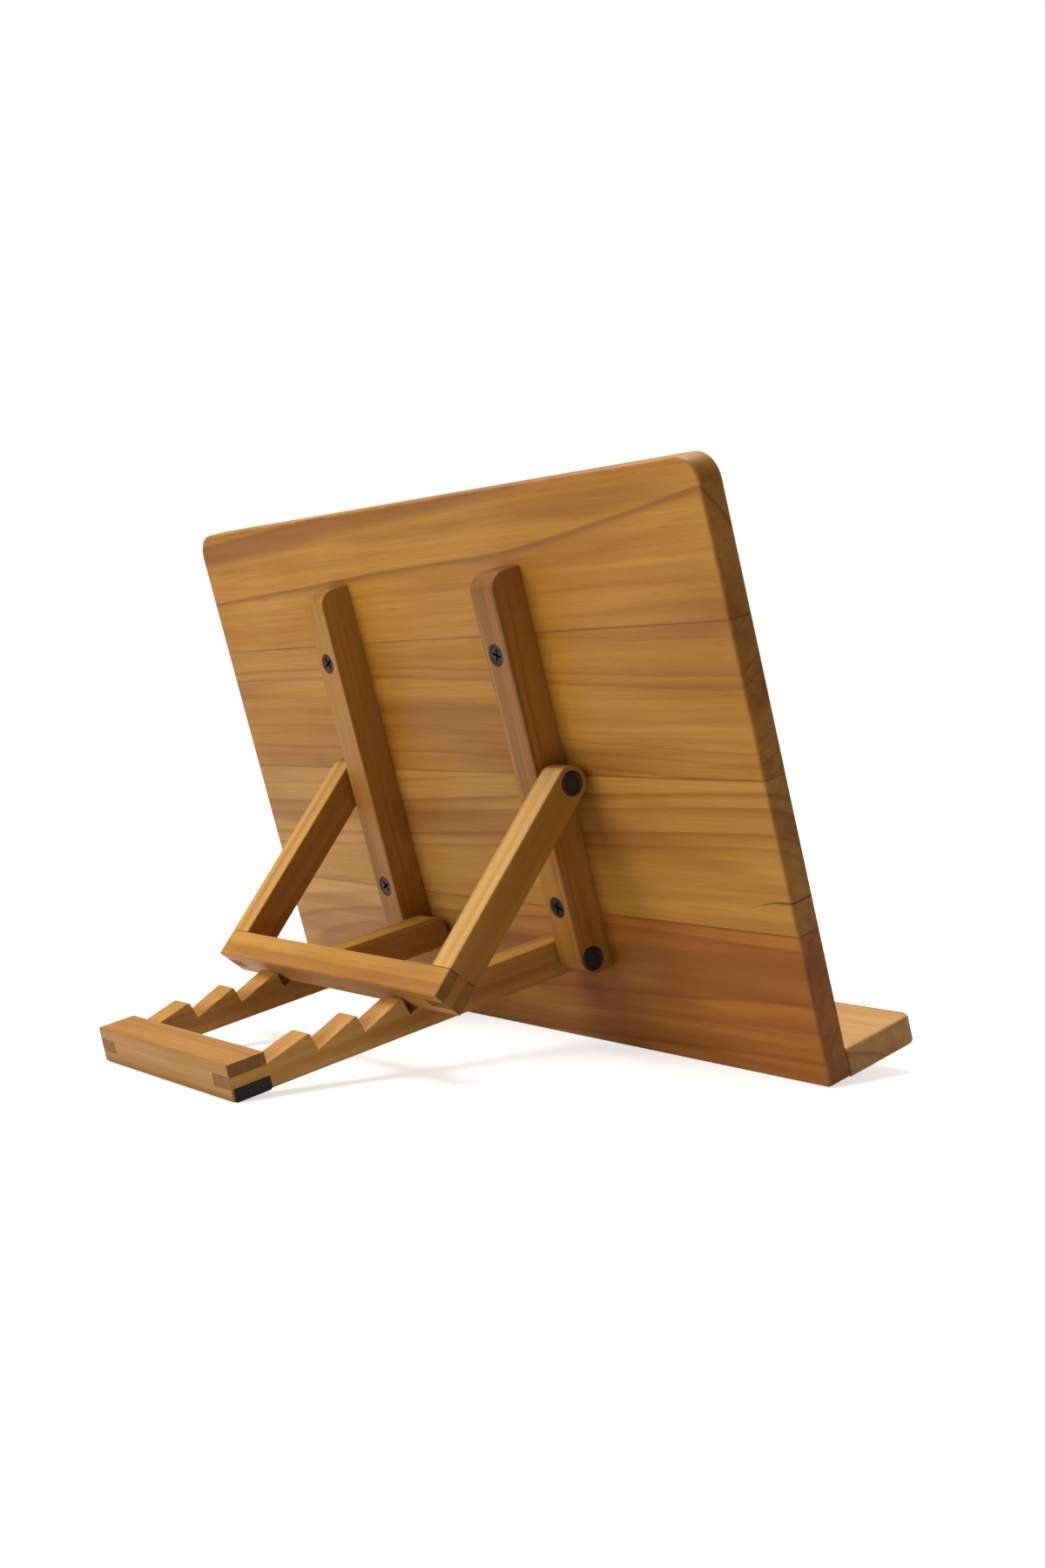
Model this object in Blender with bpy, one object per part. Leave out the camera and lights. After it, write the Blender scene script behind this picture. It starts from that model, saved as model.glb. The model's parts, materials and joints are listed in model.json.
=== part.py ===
"""Folding wooden book display stand, in metres, +Z up.

A backboard of edge-glued staves leans back on a shelf ledge. Two battens are screwed to
its rear face. A prop frame hinges halfway up the battens, on their outer sides, and a
base frame hinges at their lower ends, between them. The prop's crossbar rests in one of
the notches along the base frame, which sets how far the board leans.

Frames of reference, each an empty:
  board frame  X across, Y out of the board's rear face, Z up the board
  prop frame   Y along the prop arms from their pivot, Z out of their upper side
  base frame   Y along the base arms from their pivot, Z out of their upper side
"""

from math import asin, atan2, cos, pi, radians, sin

import bmesh
import bpy
from mathutils import Vector

# --- driving dimensions ---------------------------------------------------------------
GAP = 0.0003                    # clearance left between pieces that touch

BOARD_WIDTH = 0.350
BOARD_HEIGHT = 0.218
BOARD_THICKNESS = 0.0105
BOARD_LEAN = radians(14.3)      # lean back from upright
BOARD_CORNER_RADIUS = 0.010
BOARD_EDGE_EASE = 0.0012
STAVE_COUNT = 4

LEDGE_DEPTH = 0.0336
LEDGE_CORNER_RADIUS = 0.005

BATTEN_INNER_X = 0.054
BATTEN_WIDTH = 0.0144
BATTEN_DEPTH = 0.0143
BATTEN_BOTTOM = 0.0335          # heights up the board from its lower edge
BATTEN_TOP = 0.189
BATTEN_END_RADIUS = 0.007

PIVOT_OUT = 0.0087              # both hinge axes stand this far off the rear face
PROP_PIVOT_HEIGHT = 0.1088
BASE_PIVOT_HEIGHT = 0.0396
PIVOT_SPACE = 0.0010            # between a batten and the arm that turns beside it

BAR_WIDTH = 0.012               # the bars of both frames
BAR_DEPTH = 0.0136
BAR_EASE = 0.0005

BASE_LENGTH = 0.148             # pivot to the far face of the base crossbar
BASE_CROSSBAR_THICKNESS = 0.0152
TOOTH_COUNT = 3
TOOTH_PITCH = 0.0196
FIRST_TOOTH = 0.1143            # pivot to the steep face of the tooth nearest the far end
TOOTH_FLAT = 0.0012
NOTCH_DEPTH = 0.0064
NOTCH_UNDERCUT = 0.0020         # how far the steep face leans over its notch
PROP_CONTACT = 0.0700           # pivot to the point of the last ramp that carries the prop
PROP_CROSSBAR_THICKNESS = 0.0116

FOOT_LIP = 0.0009               # wood left at the far side of each rubber foot
FOOT_PROUD = 0.0005

DOWEL_RADIUS = 0.003
DOWEL_LENGTH = 0.023
DOWEL_IN_BOARD = 0.0072
DOWEL_POSITIONS = (-0.125, 0.0, 0.125)

BATTEN_SCREW_HEIGHTS = {"lower": 0.0612, "upper": 0.159}
BATTEN_SCREW = {"head_radius": 0.004, "head_depth": 0.0028, "shank_radius": 0.0017,
                "length": 0.0205, "sunk": 0.0004}

PIVOT_SCREW = {"head_radius": 0.0036, "head_depth": 0.002, "shank_radius": 0.0018,
               "length": 0.0245, "sunk": 0.0021}
PIVOT_CAP_RADIUS = 0.0044
PIVOT_CAP_PROUD = 0.0005
WASHER_OUTER_RADIUS = 0.0045
WASHER_THICKNESS = 0.0004

SIDES = {"left": -1, "right": 1}
ROUND_STEPS = 24

# --- worked out from the above ----------------------------------------------------------
BATTEN_OUTER_X = BATTEN_INNER_X + BATTEN_WIDTH
PROP_INNER_X = BATTEN_OUTER_X + PIVOT_SPACE
PROP_OUTER_X = PROP_INNER_X + BAR_WIDTH
BASE_OUTER_X = BATTEN_INNER_X - PIVOT_SPACE
BASE_INNER_X = BASE_OUTER_X - BAR_WIDTH
HALF_DEPTH = BAR_DEPTH / 2
FINGER_HALF = BAR_DEPTH / 6     # half of the middle finger of a three-finger corner joint


def on_board(height, out):
    """World (y, z) of a point at a height up the board and a distance off its rear face."""
    lean = BOARD_LEAN
    return Vector((height * sin(lean) + out * cos(lean), height * cos(lean) - out * sin(lean)))


def tooth_position(index):
    """Distance from the base pivot to the steep face of one tooth, 0 being the farthest."""
    return FIRST_TOOTH - index * TOOTH_PITCH


def base_slope():
    """Angle below level at which the feet reach the floor under the board's eased lower edge."""
    foot = Vector((BASE_LENGTH - FOOT_LIP - GAP, HALF_DEPTH + FOOT_PROUD))
    floor = BOARD_EDGE_EASE * (sin(BOARD_LEAN) + cos(BOARD_LEAN) - 1)
    height = on_board(BASE_PIVOT_HEIGHT, PIVOT_OUT).y - floor
    return asin(height / foot.length) - atan2(foot.y, foot.x)


def ramp_height(along):
    """Height of the last ramp above the base arm's centre line."""
    low = Vector((tooth_position(TOOTH_COUNT - 1) - NOTCH_UNDERCUT, HALF_DEPTH - NOTCH_DEPTH))
    high = Vector((tooth_position(TOOTH_COUNT) + TOOTH_FLAT, HALF_DEPTH))
    return low.y + (high.y - low.y) * (along - low.x) / (high.x - low.x)


def prop_reach():
    """Length and angle below level of the prop arms when their crossbar lies on the ramp."""
    slope = base_slope()
    along, up = PROP_CONTACT, ramp_height(PROP_CONTACT) + GAP
    contact = on_board(BASE_PIVOT_HEIGHT, PIVOT_OUT) + Vector((
        along * cos(slope) + up * sin(slope), up * cos(slope) - along * sin(slope)))
    span = contact - on_board(PROP_PIVOT_HEIGHT, PIVOT_OUT)
    length = (span.length ** 2 - HALF_DEPTH ** 2) ** 0.5
    return length, atan2(-span.y, span.x) - atan2(HALF_DEPTH, length)


BASE_SLOPE = base_slope()
PROP_LENGTH, PROP_SLOPE = prop_reach()


# --- modelling helpers ------------------------------------------------------------------
def clear_scene():
    """Start from an empty scene."""
    for obj in list(bpy.data.objects):
        bpy.data.objects.remove(obj, do_unlink=True)


def make_material(name, color, roughness, metallic=0.0):
    """A Principled material with one colour."""
    material = bpy.data.materials.new(name)
    material.use_nodes = True
    shader = material.node_tree.nodes["Principled BSDF"]
    shader.inputs["Base Color"].default_value = (*color, 1.0)
    shader.inputs["Roughness"].default_value = roughness
    shader.inputs["Metallic"].default_value = metallic
    return material


def make_empty(name, parent=None, location=(0, 0, 0), turn_x=0.0):
    """An empty that carries other objects."""
    empty = bpy.data.objects.new(name, None)
    empty.parent = parent
    empty.location = location
    empty.rotation_euler = (turn_x, 0, 0)
    bpy.context.collection.objects.link(empty)
    return empty


def make_object(name, mesh_builder, parent, location=(0, 0, 0), rotation=(0, 0, 0)):
    """Turn a bmesh into an object that hangs on a parent."""
    bmesh.ops.recalc_face_normals(mesh_builder, faces=mesh_builder.faces)
    mesh = bpy.data.meshes.new(name)
    mesh_builder.to_mesh(mesh)
    mesh_builder.free()
    obj = bpy.data.objects.new(name, mesh)
    obj.parent = parent
    obj.location = location
    obj.rotation_euler = rotation
    bpy.context.collection.objects.link(obj)
    return obj


def finish(obj, color, roughness, metallic=0.0):
    """Give a piece its own material."""
    obj.data.materials.append(make_material(obj.name, color, roughness, metallic))
    return obj


def arc(center, radius, start, end, steps=6):
    """Points on an arc, angles in degrees."""
    angles = [radians(start + (end - start) * i / steps) for i in range(steps + 1)]
    return [(center[0] + radius * cos(a), center[1] + radius * sin(a)) for a in angles]


def prism(outline, axis, low, high):
    """Extrude a flat outline along X (outline in Y, Z), Y (in X, Z) or Z (in X, Y)."""
    order = {"X": (2, 0, 1), "Y": (0, 2, 1), "Z": (0, 1, 2)}[axis]
    builder = bmesh.new()
    corners = []
    for point in outline:
        values = (*point, low)
        corners.append(builder.verts.new([values[i] for i in order]))
    face = builder.faces.new(corners)
    grown = bmesh.ops.extrude_face_region(builder, geom=[face])
    travel = Vector([(0, 0, high - low)[i] for i in order])
    moved = [item for item in grown["geom"] if isinstance(item, bmesh.types.BMVert)]
    bmesh.ops.translate(builder, verts=moved, vec=travel)
    return builder


def box(low, high):
    """A block between two corners."""
    outline = [(low[0], low[1]), (high[0], low[1]), (high[0], high[1]), (low[0], high[1])]
    return prism(outline, "Z", low[2], high[2])


def turned(profile, closed=False):
    """Spin a profile of (radius, height) points about Z."""
    builder = bmesh.new()
    points = [builder.verts.new((radius, 0, height)) for radius, height in profile]
    pairs = list(zip(points, points[1:]))
    if closed:
        pairs.append((points[-1], points[0]))
    edges = [builder.edges.new(pair) for pair in pairs]
    bmesh.ops.spin(builder, geom=points + edges, axis=(0, 0, 1), cent=(0, 0, 0),
                   angle=2 * pi, steps=ROUND_STEPS, use_duplicate=False)
    bmesh.ops.remove_doubles(builder, verts=builder.verts, dist=1e-6)
    return builder


def smooth(obj):
    """Shade a round piece smooth, with its real corners kept sharp."""
    obj.data.shade_smooth()
    obj.data.set_sharp_from_angle(angle=radians(35))
    return obj


def ease(obj, width=BAR_EASE):
    """Break a piece's sharp edges with a small chamfer."""
    bevel = obj.modifiers.new("eased_edges", "BEVEL")
    bevel.width = width
    bevel.segments = 1
    bevel.limit_method = "ANGLE"
    bevel.angle_limit = radians(40)
    return obj


def make_cutter(name, mesh_builder, parent, location=(0, 0, 0), rotation=(0, 0, 0)):
    """A hidden solid that cuts others."""
    cutter = make_object(name, mesh_builder, parent, location, rotation)
    cutter.hide_render = True
    cutter.display_type = "WIRE"
    return cutter


def cut(obj, *cutters):
    """Take each cutter's shape out of a piece."""
    for cutter in cutters:
        modifier = obj.modifiers.new(cutter.name, "BOOLEAN")
        modifier.operation = "DIFFERENCE"
        modifier.solver = "EXACT"
        modifier.object = cutter
    return obj


# --- fasteners --------------------------------------------------------------------------
def countersunk_profile(size, grow=0.0):
    """Flat-headed wood screw, its face level with the surface at height 0."""
    top = 0.001 if grow else -size["sunk"]
    head, shank = size["head_radius"] + grow, size["shank_radius"] + grow
    neck = -size["sunk"] - size["head_depth"] - grow
    tip = -size["length"] - grow
    return [(0, top), (head, top), (head, -size["sunk"] - 0.0004), (shank, neck),
            (shank, tip + 0.002), (0.0004, tip), (0, tip)]


def pan_profile(size, grow=0.0):
    """Flat-topped pivot screw, its head sunk below a cap. Its hole also takes the cap."""
    seat = -size["sunk"] - size["head_depth"] - grow
    shank = size["shank_radius"] + grow
    tip = -size["length"] - grow
    if grow:
        mouth = PIVOT_CAP_RADIUS + grow
        return [(0, 0.001), (mouth, 0.001), (mouth, seat), (shank, seat), (shank, tip), (0, tip)]
    head, top = size["head_radius"], -size["sunk"]
    return [(0, top), (head - 0.0004, top), (head, top - 0.0004), (head, seat), (shank, seat),
            (shank, tip + 0.0015), (0.0005, tip), (0, tip)]


def cap_profile():
    """Low domed cap that closes the mouth over a pivot screw."""
    radius, proud = PIVOT_CAP_RADIUS, PIVOT_CAP_PROUD
    under = -PIVOT_SCREW["sunk"] + GAP
    return [(0, under), (radius, under), (radius, proud * 0.2), (radius - 0.0004, proud * 0.75),
            (radius - 0.0014, proud), (0, proud)]


def steel(obj):
    """Blackened steel screw."""
    return finish(smooth(obj), (0.03, 0.03, 0.032), 0.42, 0.9)


# --- backboard and ledge ----------------------------------------------------------------
def ease_outer_edges(builder, seams):
    """Chamfer a stave's edges, except along its glued seams."""
    def on_seam(edge):
        heights = [vert.co.z for vert in edge.verts]
        return any(all(abs(height - seam) < 1e-6 for height in heights) for seam in seams)

    sharp = [edge for edge in builder.edges
             if edge.calc_face_angle(0) > radians(60) and not on_seam(edge)]
    bmesh.ops.bevel(builder, geom=sharp, offset=BOARD_EDGE_EASE, segments=2, profile=0.5,
                    affect="EDGES")


def stave_outline(index):
    """Outline of one stave across the board; the top one has the rounded corners."""
    pitch = BOARD_HEIGHT / STAVE_COUNT
    half = BOARD_WIDTH / 2
    low = index * pitch + (GAP / 2 if index else 0)
    top = index == STAVE_COUNT - 1
    high = (index + 1) * pitch - (0 if top else GAP / 2)
    if not top:
        return [(-half, low), (half, low), (half, high), (-half, high)], low, high
    radius = BOARD_CORNER_RADIUS
    corners = arc((half - radius, high - radius), radius, 0, 90)
    corners += arc((radius - half, high - radius), radius, 90, 180)
    return [(-half, low), (half, low)] + corners, low, high


def build_board(board, dowel_cutters, screw_cutters):
    """Four staves, edge to edge, that make the backboard."""
    pitch = BOARD_HEIGHT / STAVE_COUNT
    for index in range(STAVE_COUNT):
        outline, low, high = stave_outline(index)
        builder = prism(outline, "Y", -BOARD_THICKNESS, 0)
        bmesh.ops.recalc_face_normals(builder, faces=builder.faces)
        seams = ([low] if index else []) + ([high] if index < STAVE_COUNT - 1 else [])
        ease_outer_edges(builder, seams)
        stave = make_object(f"board_stave_{index + 1}", builder, board)
        if index == 0:
            cut(stave, *dowel_cutters)
        for name, height in BATTEN_SCREW_HEIGHTS.items():
            if int(height // pitch) == index:
                cut(stave, *screw_cutters[name])
        finish(stave, (0.42, 0.21, 0.07) if index else (0.36, 0.16, 0.055), 0.45)


def build_ledge(board, dowel_cutters):
    """Shelf at the board's foot that carries the book."""
    half, radius = BOARD_WIDTH / 2, LEDGE_CORNER_RADIUS
    back = -BOARD_THICKNESS - GAP
    front = back - LEDGE_DEPTH
    outline = [(half, back), (-half, back)]
    outline += arc((radius - half, front + radius), radius, 180, 270)
    outline += arc((half - radius, front + radius), radius, 270, 360)
    ledge = make_object("ledge", prism(outline, "Z", 0, BOARD_THICKNESS), board)
    cut(ease(ledge, BOARD_EDGE_EASE), *dowel_cutters)
    finish(ledge, (0.47, 0.25, 0.09), 0.45)


def dowel_profile(grow=0.0):
    """Round peg with chamfered ends."""
    radius, low, high = DOWEL_RADIUS + grow, -grow, DOWEL_LENGTH + grow
    chamfer = 0.0006
    return [(0, low), (radius - chamfer, low), (radius, low + chamfer),
            (radius, high - chamfer), (radius - chamfer, high), (0, high)]


def build_dowels(board):
    """Hidden pegs between the board and the ledge. Returns the holes' cutters."""
    cutters = []
    for number, across in enumerate(DOWEL_POSITIONS, start=1):
        place = (across, -BOARD_THICKNESS + DOWEL_IN_BOARD, BOARD_THICKNESS / 2)
        lying = (pi / 2, 0, 0)
        dowel = make_object(f"ledge_dowel_{number}", turned(dowel_profile()), board, place, lying)
        finish(smooth(dowel), (0.55, 0.36, 0.17), 0.6)
        cutters.append(make_cutter(f"cut_dowel_{number}", turned(dowel_profile(GAP)), board,
                                   place, lying))
    return cutters


# --- battens ----------------------------------------------------------------------------
def build_batten_screws(board):
    """Countersunk screws through the battens. Returns cutters by height, then by side."""
    cutters = {}
    for level, height in BATTEN_SCREW_HEIGHTS.items():
        cutters[level] = []
        for side, sign in SIDES.items():
            place = (sign * (BATTEN_INNER_X + BATTEN_WIDTH / 2), BATTEN_DEPTH, height)
            facing_rear = (-pi / 2, 0, 0)
            name = f"batten_screw_{side}_{level}"
            steel(make_object(name, turned(countersunk_profile(BATTEN_SCREW)), board, place,
                              facing_rear))
            cutters[level].append(make_cutter(
                f"cut_{name}", turned(countersunk_profile(BATTEN_SCREW, GAP)), board, place,
                facing_rear))
    return cutters


def build_battens(board, screw_cutters, pivot_cutters):
    """Two uprights on the rear face, rounded where the frames fold over their ends."""
    radius = BATTEN_END_RADIUS
    outline = [(GAP, BATTEN_BOTTOM)]
    outline += arc((BATTEN_DEPTH - radius, BATTEN_BOTTOM + radius), radius, 270, 360)
    outline += arc((BATTEN_DEPTH - radius, BATTEN_TOP - radius), radius, 0, 90)
    outline += [(GAP, BATTEN_TOP)]
    for number, (side, sign) in enumerate(SIDES.items()):
        faces = sorted((sign * BATTEN_INNER_X, sign * BATTEN_OUTER_X))
        batten = make_object(f"batten_{side}", prism(outline, "X", *faces), board)
        cut(ease(batten), *(pair[number] for pair in screw_cutters.values()))
        cut(batten, pivot_cutters["prop"][side], pivot_cutters["base"][side])
        finish(batten, (0.36, 0.2, 0.08), 0.48)


# --- hinges -----------------------------------------------------------------------------
def build_pivots(board, prop, base):
    """Screw, cap and washer of each hinge. Returns the holes' cutters."""
    heights = {"prop": PROP_PIVOT_HEIGHT, "base": BASE_PIVOT_HEIGHT}
    outer_faces = {"prop": PROP_OUTER_X, "base": BATTEN_OUTER_X}
    inner_faces = {"prop": BATTEN_OUTER_X, "base": BASE_OUTER_X}
    cap_parents = {"prop": prop, "base": board}
    ring = [(PIVOT_SCREW["shank_radius"] + GAP, 0), (WASHER_OUTER_RADIUS, 0),
            (WASHER_OUTER_RADIUS, WASHER_THICKNESS),
            (PIVOT_SCREW["shank_radius"] + GAP, WASHER_THICKNESS)]
    cutters = {"prop": {}, "base": {}}
    for frame, height in heights.items():
        for side, sign in SIDES.items():
            outward = (0, sign * pi / 2, 0)
            place = (sign * outer_faces[frame], PIVOT_OUT, height)
            screw = turned(pan_profile(PIVOT_SCREW))
            steel(make_object(f"{frame}_pivot_screw_{side}", screw, board, place, outward))
            cutters[frame][side] = make_cutter(
                f"cut_{frame}_pivot_{side}", turned(pan_profile(PIVOT_SCREW, GAP)), board, place,
                outward)
            moving = cap_parents[frame] is prop
            cap_place = (place[0], 0, 0) if moving else place
            cap = make_object(f"{frame}_pivot_cap_{side}", turned(cap_profile()),
                              cap_parents[frame], cap_place, outward)
            finish(smooth(cap), (0.008, 0.008, 0.009), 0.38)
            washer_x = sign * (inner_faces[frame] + GAP)
            if sign < 0:
                washer_x -= WASHER_THICKNESS
            washer = make_object(f"{frame}_pivot_washer_{side}", turned(ring, closed=True),
                                 board, (washer_x, PIVOT_OUT, height), (0, pi / 2, 0))
            finish(smooth(washer), (0.5, 0.5, 0.5), 0.35, 1.0)
    return cutters


# --- prop frame -------------------------------------------------------------------------
def rounded_pivot_end():
    """Half circle about the pivot, from an arm's upper side round to its underside."""
    return arc((0, 0), HALF_DEPTH, 90, 270, 12)


def finger_end(length, shoulder):
    """Middle finger at an arm's far end, from its underside up to its top."""
    finger = FINGER_HALF - GAP
    return [(shoulder, -HALF_DEPTH), (shoulder, -finger), (length, -finger),
            (length, finger), (shoulder, finger)]


def crossbar_outline(outer_x, inner_x):
    """Bar seen along the arms, with a slot at each end for the arm's middle finger."""
    slot = inner_x - GAP
    right = [(outer_x, -HALF_DEPTH), (outer_x, -FINGER_HALF), (slot, -FINGER_HALF),
             (slot, FINGER_HALF), (outer_x, FINGER_HALF), (outer_x, HALF_DEPTH)]
    return right + [(-x, z) for x, z in reversed(right)]


def build_prop(prop, pivot_cutters):
    """U-shaped prop: two arms outside the battens and the crossbar that joins them."""
    shoulder = PROP_LENGTH - PROP_CROSSBAR_THICKNESS - GAP
    outline = rounded_pivot_end() + finger_end(PROP_LENGTH, shoulder) + [(shoulder, HALF_DEPTH)]
    for side, sign in SIDES.items():
        faces = sorted((sign * PROP_INNER_X, sign * PROP_OUTER_X))
        arm = make_object(f"prop_arm_{side}", prism(outline, "X", *faces), prop)
        cut(ease(arm), pivot_cutters["prop"][side])
        finish(arm, (0.48, 0.27, 0.1), 0.45)
    bar = make_object("prop_crossbar", prism(crossbar_outline(PROP_OUTER_X, PROP_INNER_X), "Y",
                                             PROP_LENGTH - PROP_CROSSBAR_THICKNESS, PROP_LENGTH),
                      prop)
    finish(ease(bar), (0.45, 0.25, 0.09), 0.45)


# --- base frame -------------------------------------------------------------------------
def notched_top(shoulder):
    """Upper side of a base arm, from the far end back to the pivot."""
    points = []
    for index in range(TOOTH_COUNT):
        steep = tooth_position(index)
        points += [(steep + TOOTH_FLAT, HALF_DEPTH), (steep, HALF_DEPTH),
                   (steep - NOTCH_UNDERCUT, HALF_DEPTH - NOTCH_DEPTH)]
    points.append((tooth_position(TOOTH_COUNT) + TOOTH_FLAT, HALF_DEPTH))
    return points


def build_feet(base):
    """Rubber feet let into the underside of the base crossbar's ends."""
    cutters = []
    low_y, high_y = BASE_LENGTH - BASE_CROSSBAR_THICKNESS, BASE_LENGTH - FOOT_LIP
    for side, sign in SIDES.items():
        inner, outer = BASE_INNER_X, BASE_OUTER_X
        pocket = sorted((sign * (inner - GAP), sign * (outer + 0.002)))
        cutters.append(make_cutter(f"cut_foot_{side}", box(
            (pocket[0], low_y - 0.002, -HALF_DEPTH - 0.002),
            (pocket[1], high_y, -FINGER_HALF + 0.0002)),
            base))
        ends = sorted((sign * inner, sign * outer))
        foot = make_object(f"foot_{side}", box(
            (ends[0], low_y, -HALF_DEPTH - FOOT_PROUD), (ends[1], high_y - GAP, -FINGER_HALF)),
            base)
        finish(ease(foot, BAR_EASE / 2), (0.012, 0.012, 0.012), 0.75)
    return cutters


def build_base(base, pivot_cutters):
    """U-shaped base: two notched arms between the battens and the crossbar on its feet."""
    shoulder = BASE_LENGTH - BASE_CROSSBAR_THICKNESS - GAP
    outline = rounded_pivot_end() + finger_end(BASE_LENGTH, shoulder) + notched_top(shoulder)
    for side, sign in SIDES.items():
        faces = sorted((sign * BASE_INNER_X, sign * BASE_OUTER_X))
        arm = make_object(f"base_arm_{side}", prism(outline, "X", *faces), base)
        cut(ease(arm), pivot_cutters["base"][side])
        finish(arm, (0.44, 0.25, 0.1), 0.45)
    bar = make_object("base_crossbar", prism(crossbar_outline(BASE_OUTER_X, BASE_INNER_X), "Y",
                                             BASE_LENGTH - BASE_CROSSBAR_THICKNESS, BASE_LENGTH),
                      base)
    cut(ease(bar), *build_feet(base))
    finish(bar, (0.46, 0.26, 0.1), 0.45)


# --- assembly ---------------------------------------------------------------------------
def put_origin_under_the_middle(stand):
    """Slide the whole stand so that the origin is the bottom centre of its box."""
    bpy.context.view_layer.update()
    depsgraph = bpy.context.evaluated_depsgraph_get()
    corners = []
    for obj in bpy.data.objects:
        if obj.type == "MESH" and not obj.hide_render:
            evaluated = obj.evaluated_get(depsgraph)
            corners += [evaluated.matrix_world @ vert.co for vert in evaluated.data.vertices]
    low = Vector([min(corner[axis] for corner in corners) for axis in range(3)])
    high = Vector([max(corner[axis] for corner in corners) for axis in range(3)])
    stand.location = (-(low.x + high.x) / 2, -(low.y + high.y) / 2, -low.z)
    bpy.context.view_layer.update()


def main():
    """Build the stand."""
    clear_scene()
    stand = make_empty("stand")
    board = make_empty("board_frame", stand, turn_x=-BOARD_LEAN)
    prop = make_empty("prop_frame", board, (0, PIVOT_OUT, PROP_PIVOT_HEIGHT),
                      BOARD_LEAN - PROP_SLOPE)
    base = make_empty("base_frame", board, (0, PIVOT_OUT, BASE_PIVOT_HEIGHT),
                      BOARD_LEAN - BASE_SLOPE)
    dowel_cutters = build_dowels(board)
    screw_cutters = build_batten_screws(board)
    pivot_cutters = build_pivots(board, prop, base)
    build_board(board, dowel_cutters, screw_cutters)
    build_ledge(board, dowel_cutters)
    build_battens(board, screw_cutters, pivot_cutters)
    build_prop(prop, pivot_cutters)
    build_base(base, pivot_cutters)
    put_origin_under_the_middle(stand)


main()
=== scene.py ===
import json
import logging
from collections.abc import Callable
from dataclasses import dataclass, replace
from enum import Enum
from math import cos, pi, radians, sin

import bmesh
import bpy
import numpy as np
from mathutils import Matrix, Vector


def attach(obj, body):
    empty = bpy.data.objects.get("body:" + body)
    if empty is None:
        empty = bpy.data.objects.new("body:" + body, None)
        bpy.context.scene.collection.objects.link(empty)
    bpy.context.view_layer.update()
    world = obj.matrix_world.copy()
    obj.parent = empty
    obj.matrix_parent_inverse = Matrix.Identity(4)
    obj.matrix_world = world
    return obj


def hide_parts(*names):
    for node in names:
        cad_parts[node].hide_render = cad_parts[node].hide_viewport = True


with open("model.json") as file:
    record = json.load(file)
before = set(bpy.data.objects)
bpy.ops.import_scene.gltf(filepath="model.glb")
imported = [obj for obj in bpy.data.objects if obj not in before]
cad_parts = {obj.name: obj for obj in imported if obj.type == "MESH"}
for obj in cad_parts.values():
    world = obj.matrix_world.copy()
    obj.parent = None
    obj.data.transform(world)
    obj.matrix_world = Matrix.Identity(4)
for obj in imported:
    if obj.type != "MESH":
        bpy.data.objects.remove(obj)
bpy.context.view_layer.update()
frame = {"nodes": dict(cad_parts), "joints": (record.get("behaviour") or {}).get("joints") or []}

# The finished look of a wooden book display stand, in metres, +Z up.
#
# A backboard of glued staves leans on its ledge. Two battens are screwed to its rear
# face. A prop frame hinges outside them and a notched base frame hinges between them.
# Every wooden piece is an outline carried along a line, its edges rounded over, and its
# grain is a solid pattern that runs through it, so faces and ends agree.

Colour = tuple[float, float, float, float]
Point = tuple[float, float, float]

HAIRLINE = 0.00004          # what shows of a glued joint
HOLE_CLEARANCE = 0.0003     # room round a screw or cap in its hole
SMALLEST_STEP = 1e-7        # points nearer than this are one point
WORN_CORNER = 0.003         # corners rounder than this show no wear
ARC_STEPS = ((0.0008, 3), (0.004, 5), (1.0, 10))    # below each radius, steps round an arc

log = logging.getLogger("book_stand")


class Side(Enum):
    """The two sides of the stand, by the sign of X."""

    LEFT = -1
    RIGHT = 1

    @property
    def word(self) -> str:
        """The side's name in lower case."""
        return self.name.lower()

    @property
    def outward(self) -> np.ndarray:
        """Unit direction out of the stand on this side."""
        return np.array([self.value, 0.0, 0.0])


class Along(Enum):
    """Line an outline is carried along: where (first, second, travel) go in x, y, z."""

    X = (2, 0, 1)
    Y = (0, 2, 1)
    Z = (0, 1, 2)


# --- places -----------------------------------------------------------------------------
@dataclass(frozen=True)
class Place:
    """A frame of reference turned about the stand's X axis.

    Attributes:
        origin: Its zero, in the stand's frame.
        turn: Angle about X in radians.
    """

    origin: Point
    turn: float

    @property
    def axes(self) -> np.ndarray:
        """Its X, Y and Z directions as the columns of a 3 x 3 array."""
        c, s = cos(self.turn), sin(self.turn)
        return np.array([[1, 0, 0], [0, c, -s], [0, s, c]])

    def out(self, points: np.ndarray) -> np.ndarray:
        """Carry local points into the stand's frame: origin + axes times point."""
        return points @ self.axes.T + np.array(self.origin)

    def box(self, node: str) -> tuple[np.ndarray, np.ndarray]:
        """Find a solid's extent in this frame.

        Args:
            node: Name of the solid.

        Returns:
            Its lowest and highest corners, local.
        """
        vertices = frame["nodes"][node].data.vertices
        points = np.empty(len(vertices) * 3)
        vertices.foreach_get("co", points)
        local = (points.reshape(-1, 3) - np.array(self.origin)) @ self.axes
        return local.min(axis=0), local.max(axis=0)

    def grain(self, node: str, along: int, across: int) -> "Grain":
        """Lay the grain of a solid along this frame's axes.

        Args:
            node: Name of the solid.
            along: Number of the axis that the grain runs along.
            across: Number of the axis across its wide face.

        Returns:
            The grain.
        """
        ways = (tuple(self.axes[:, axis]) for axis in (along, across))
        return Grain(tuple(self.out(sum(self.box(node)) / 2)), *ways)


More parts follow.
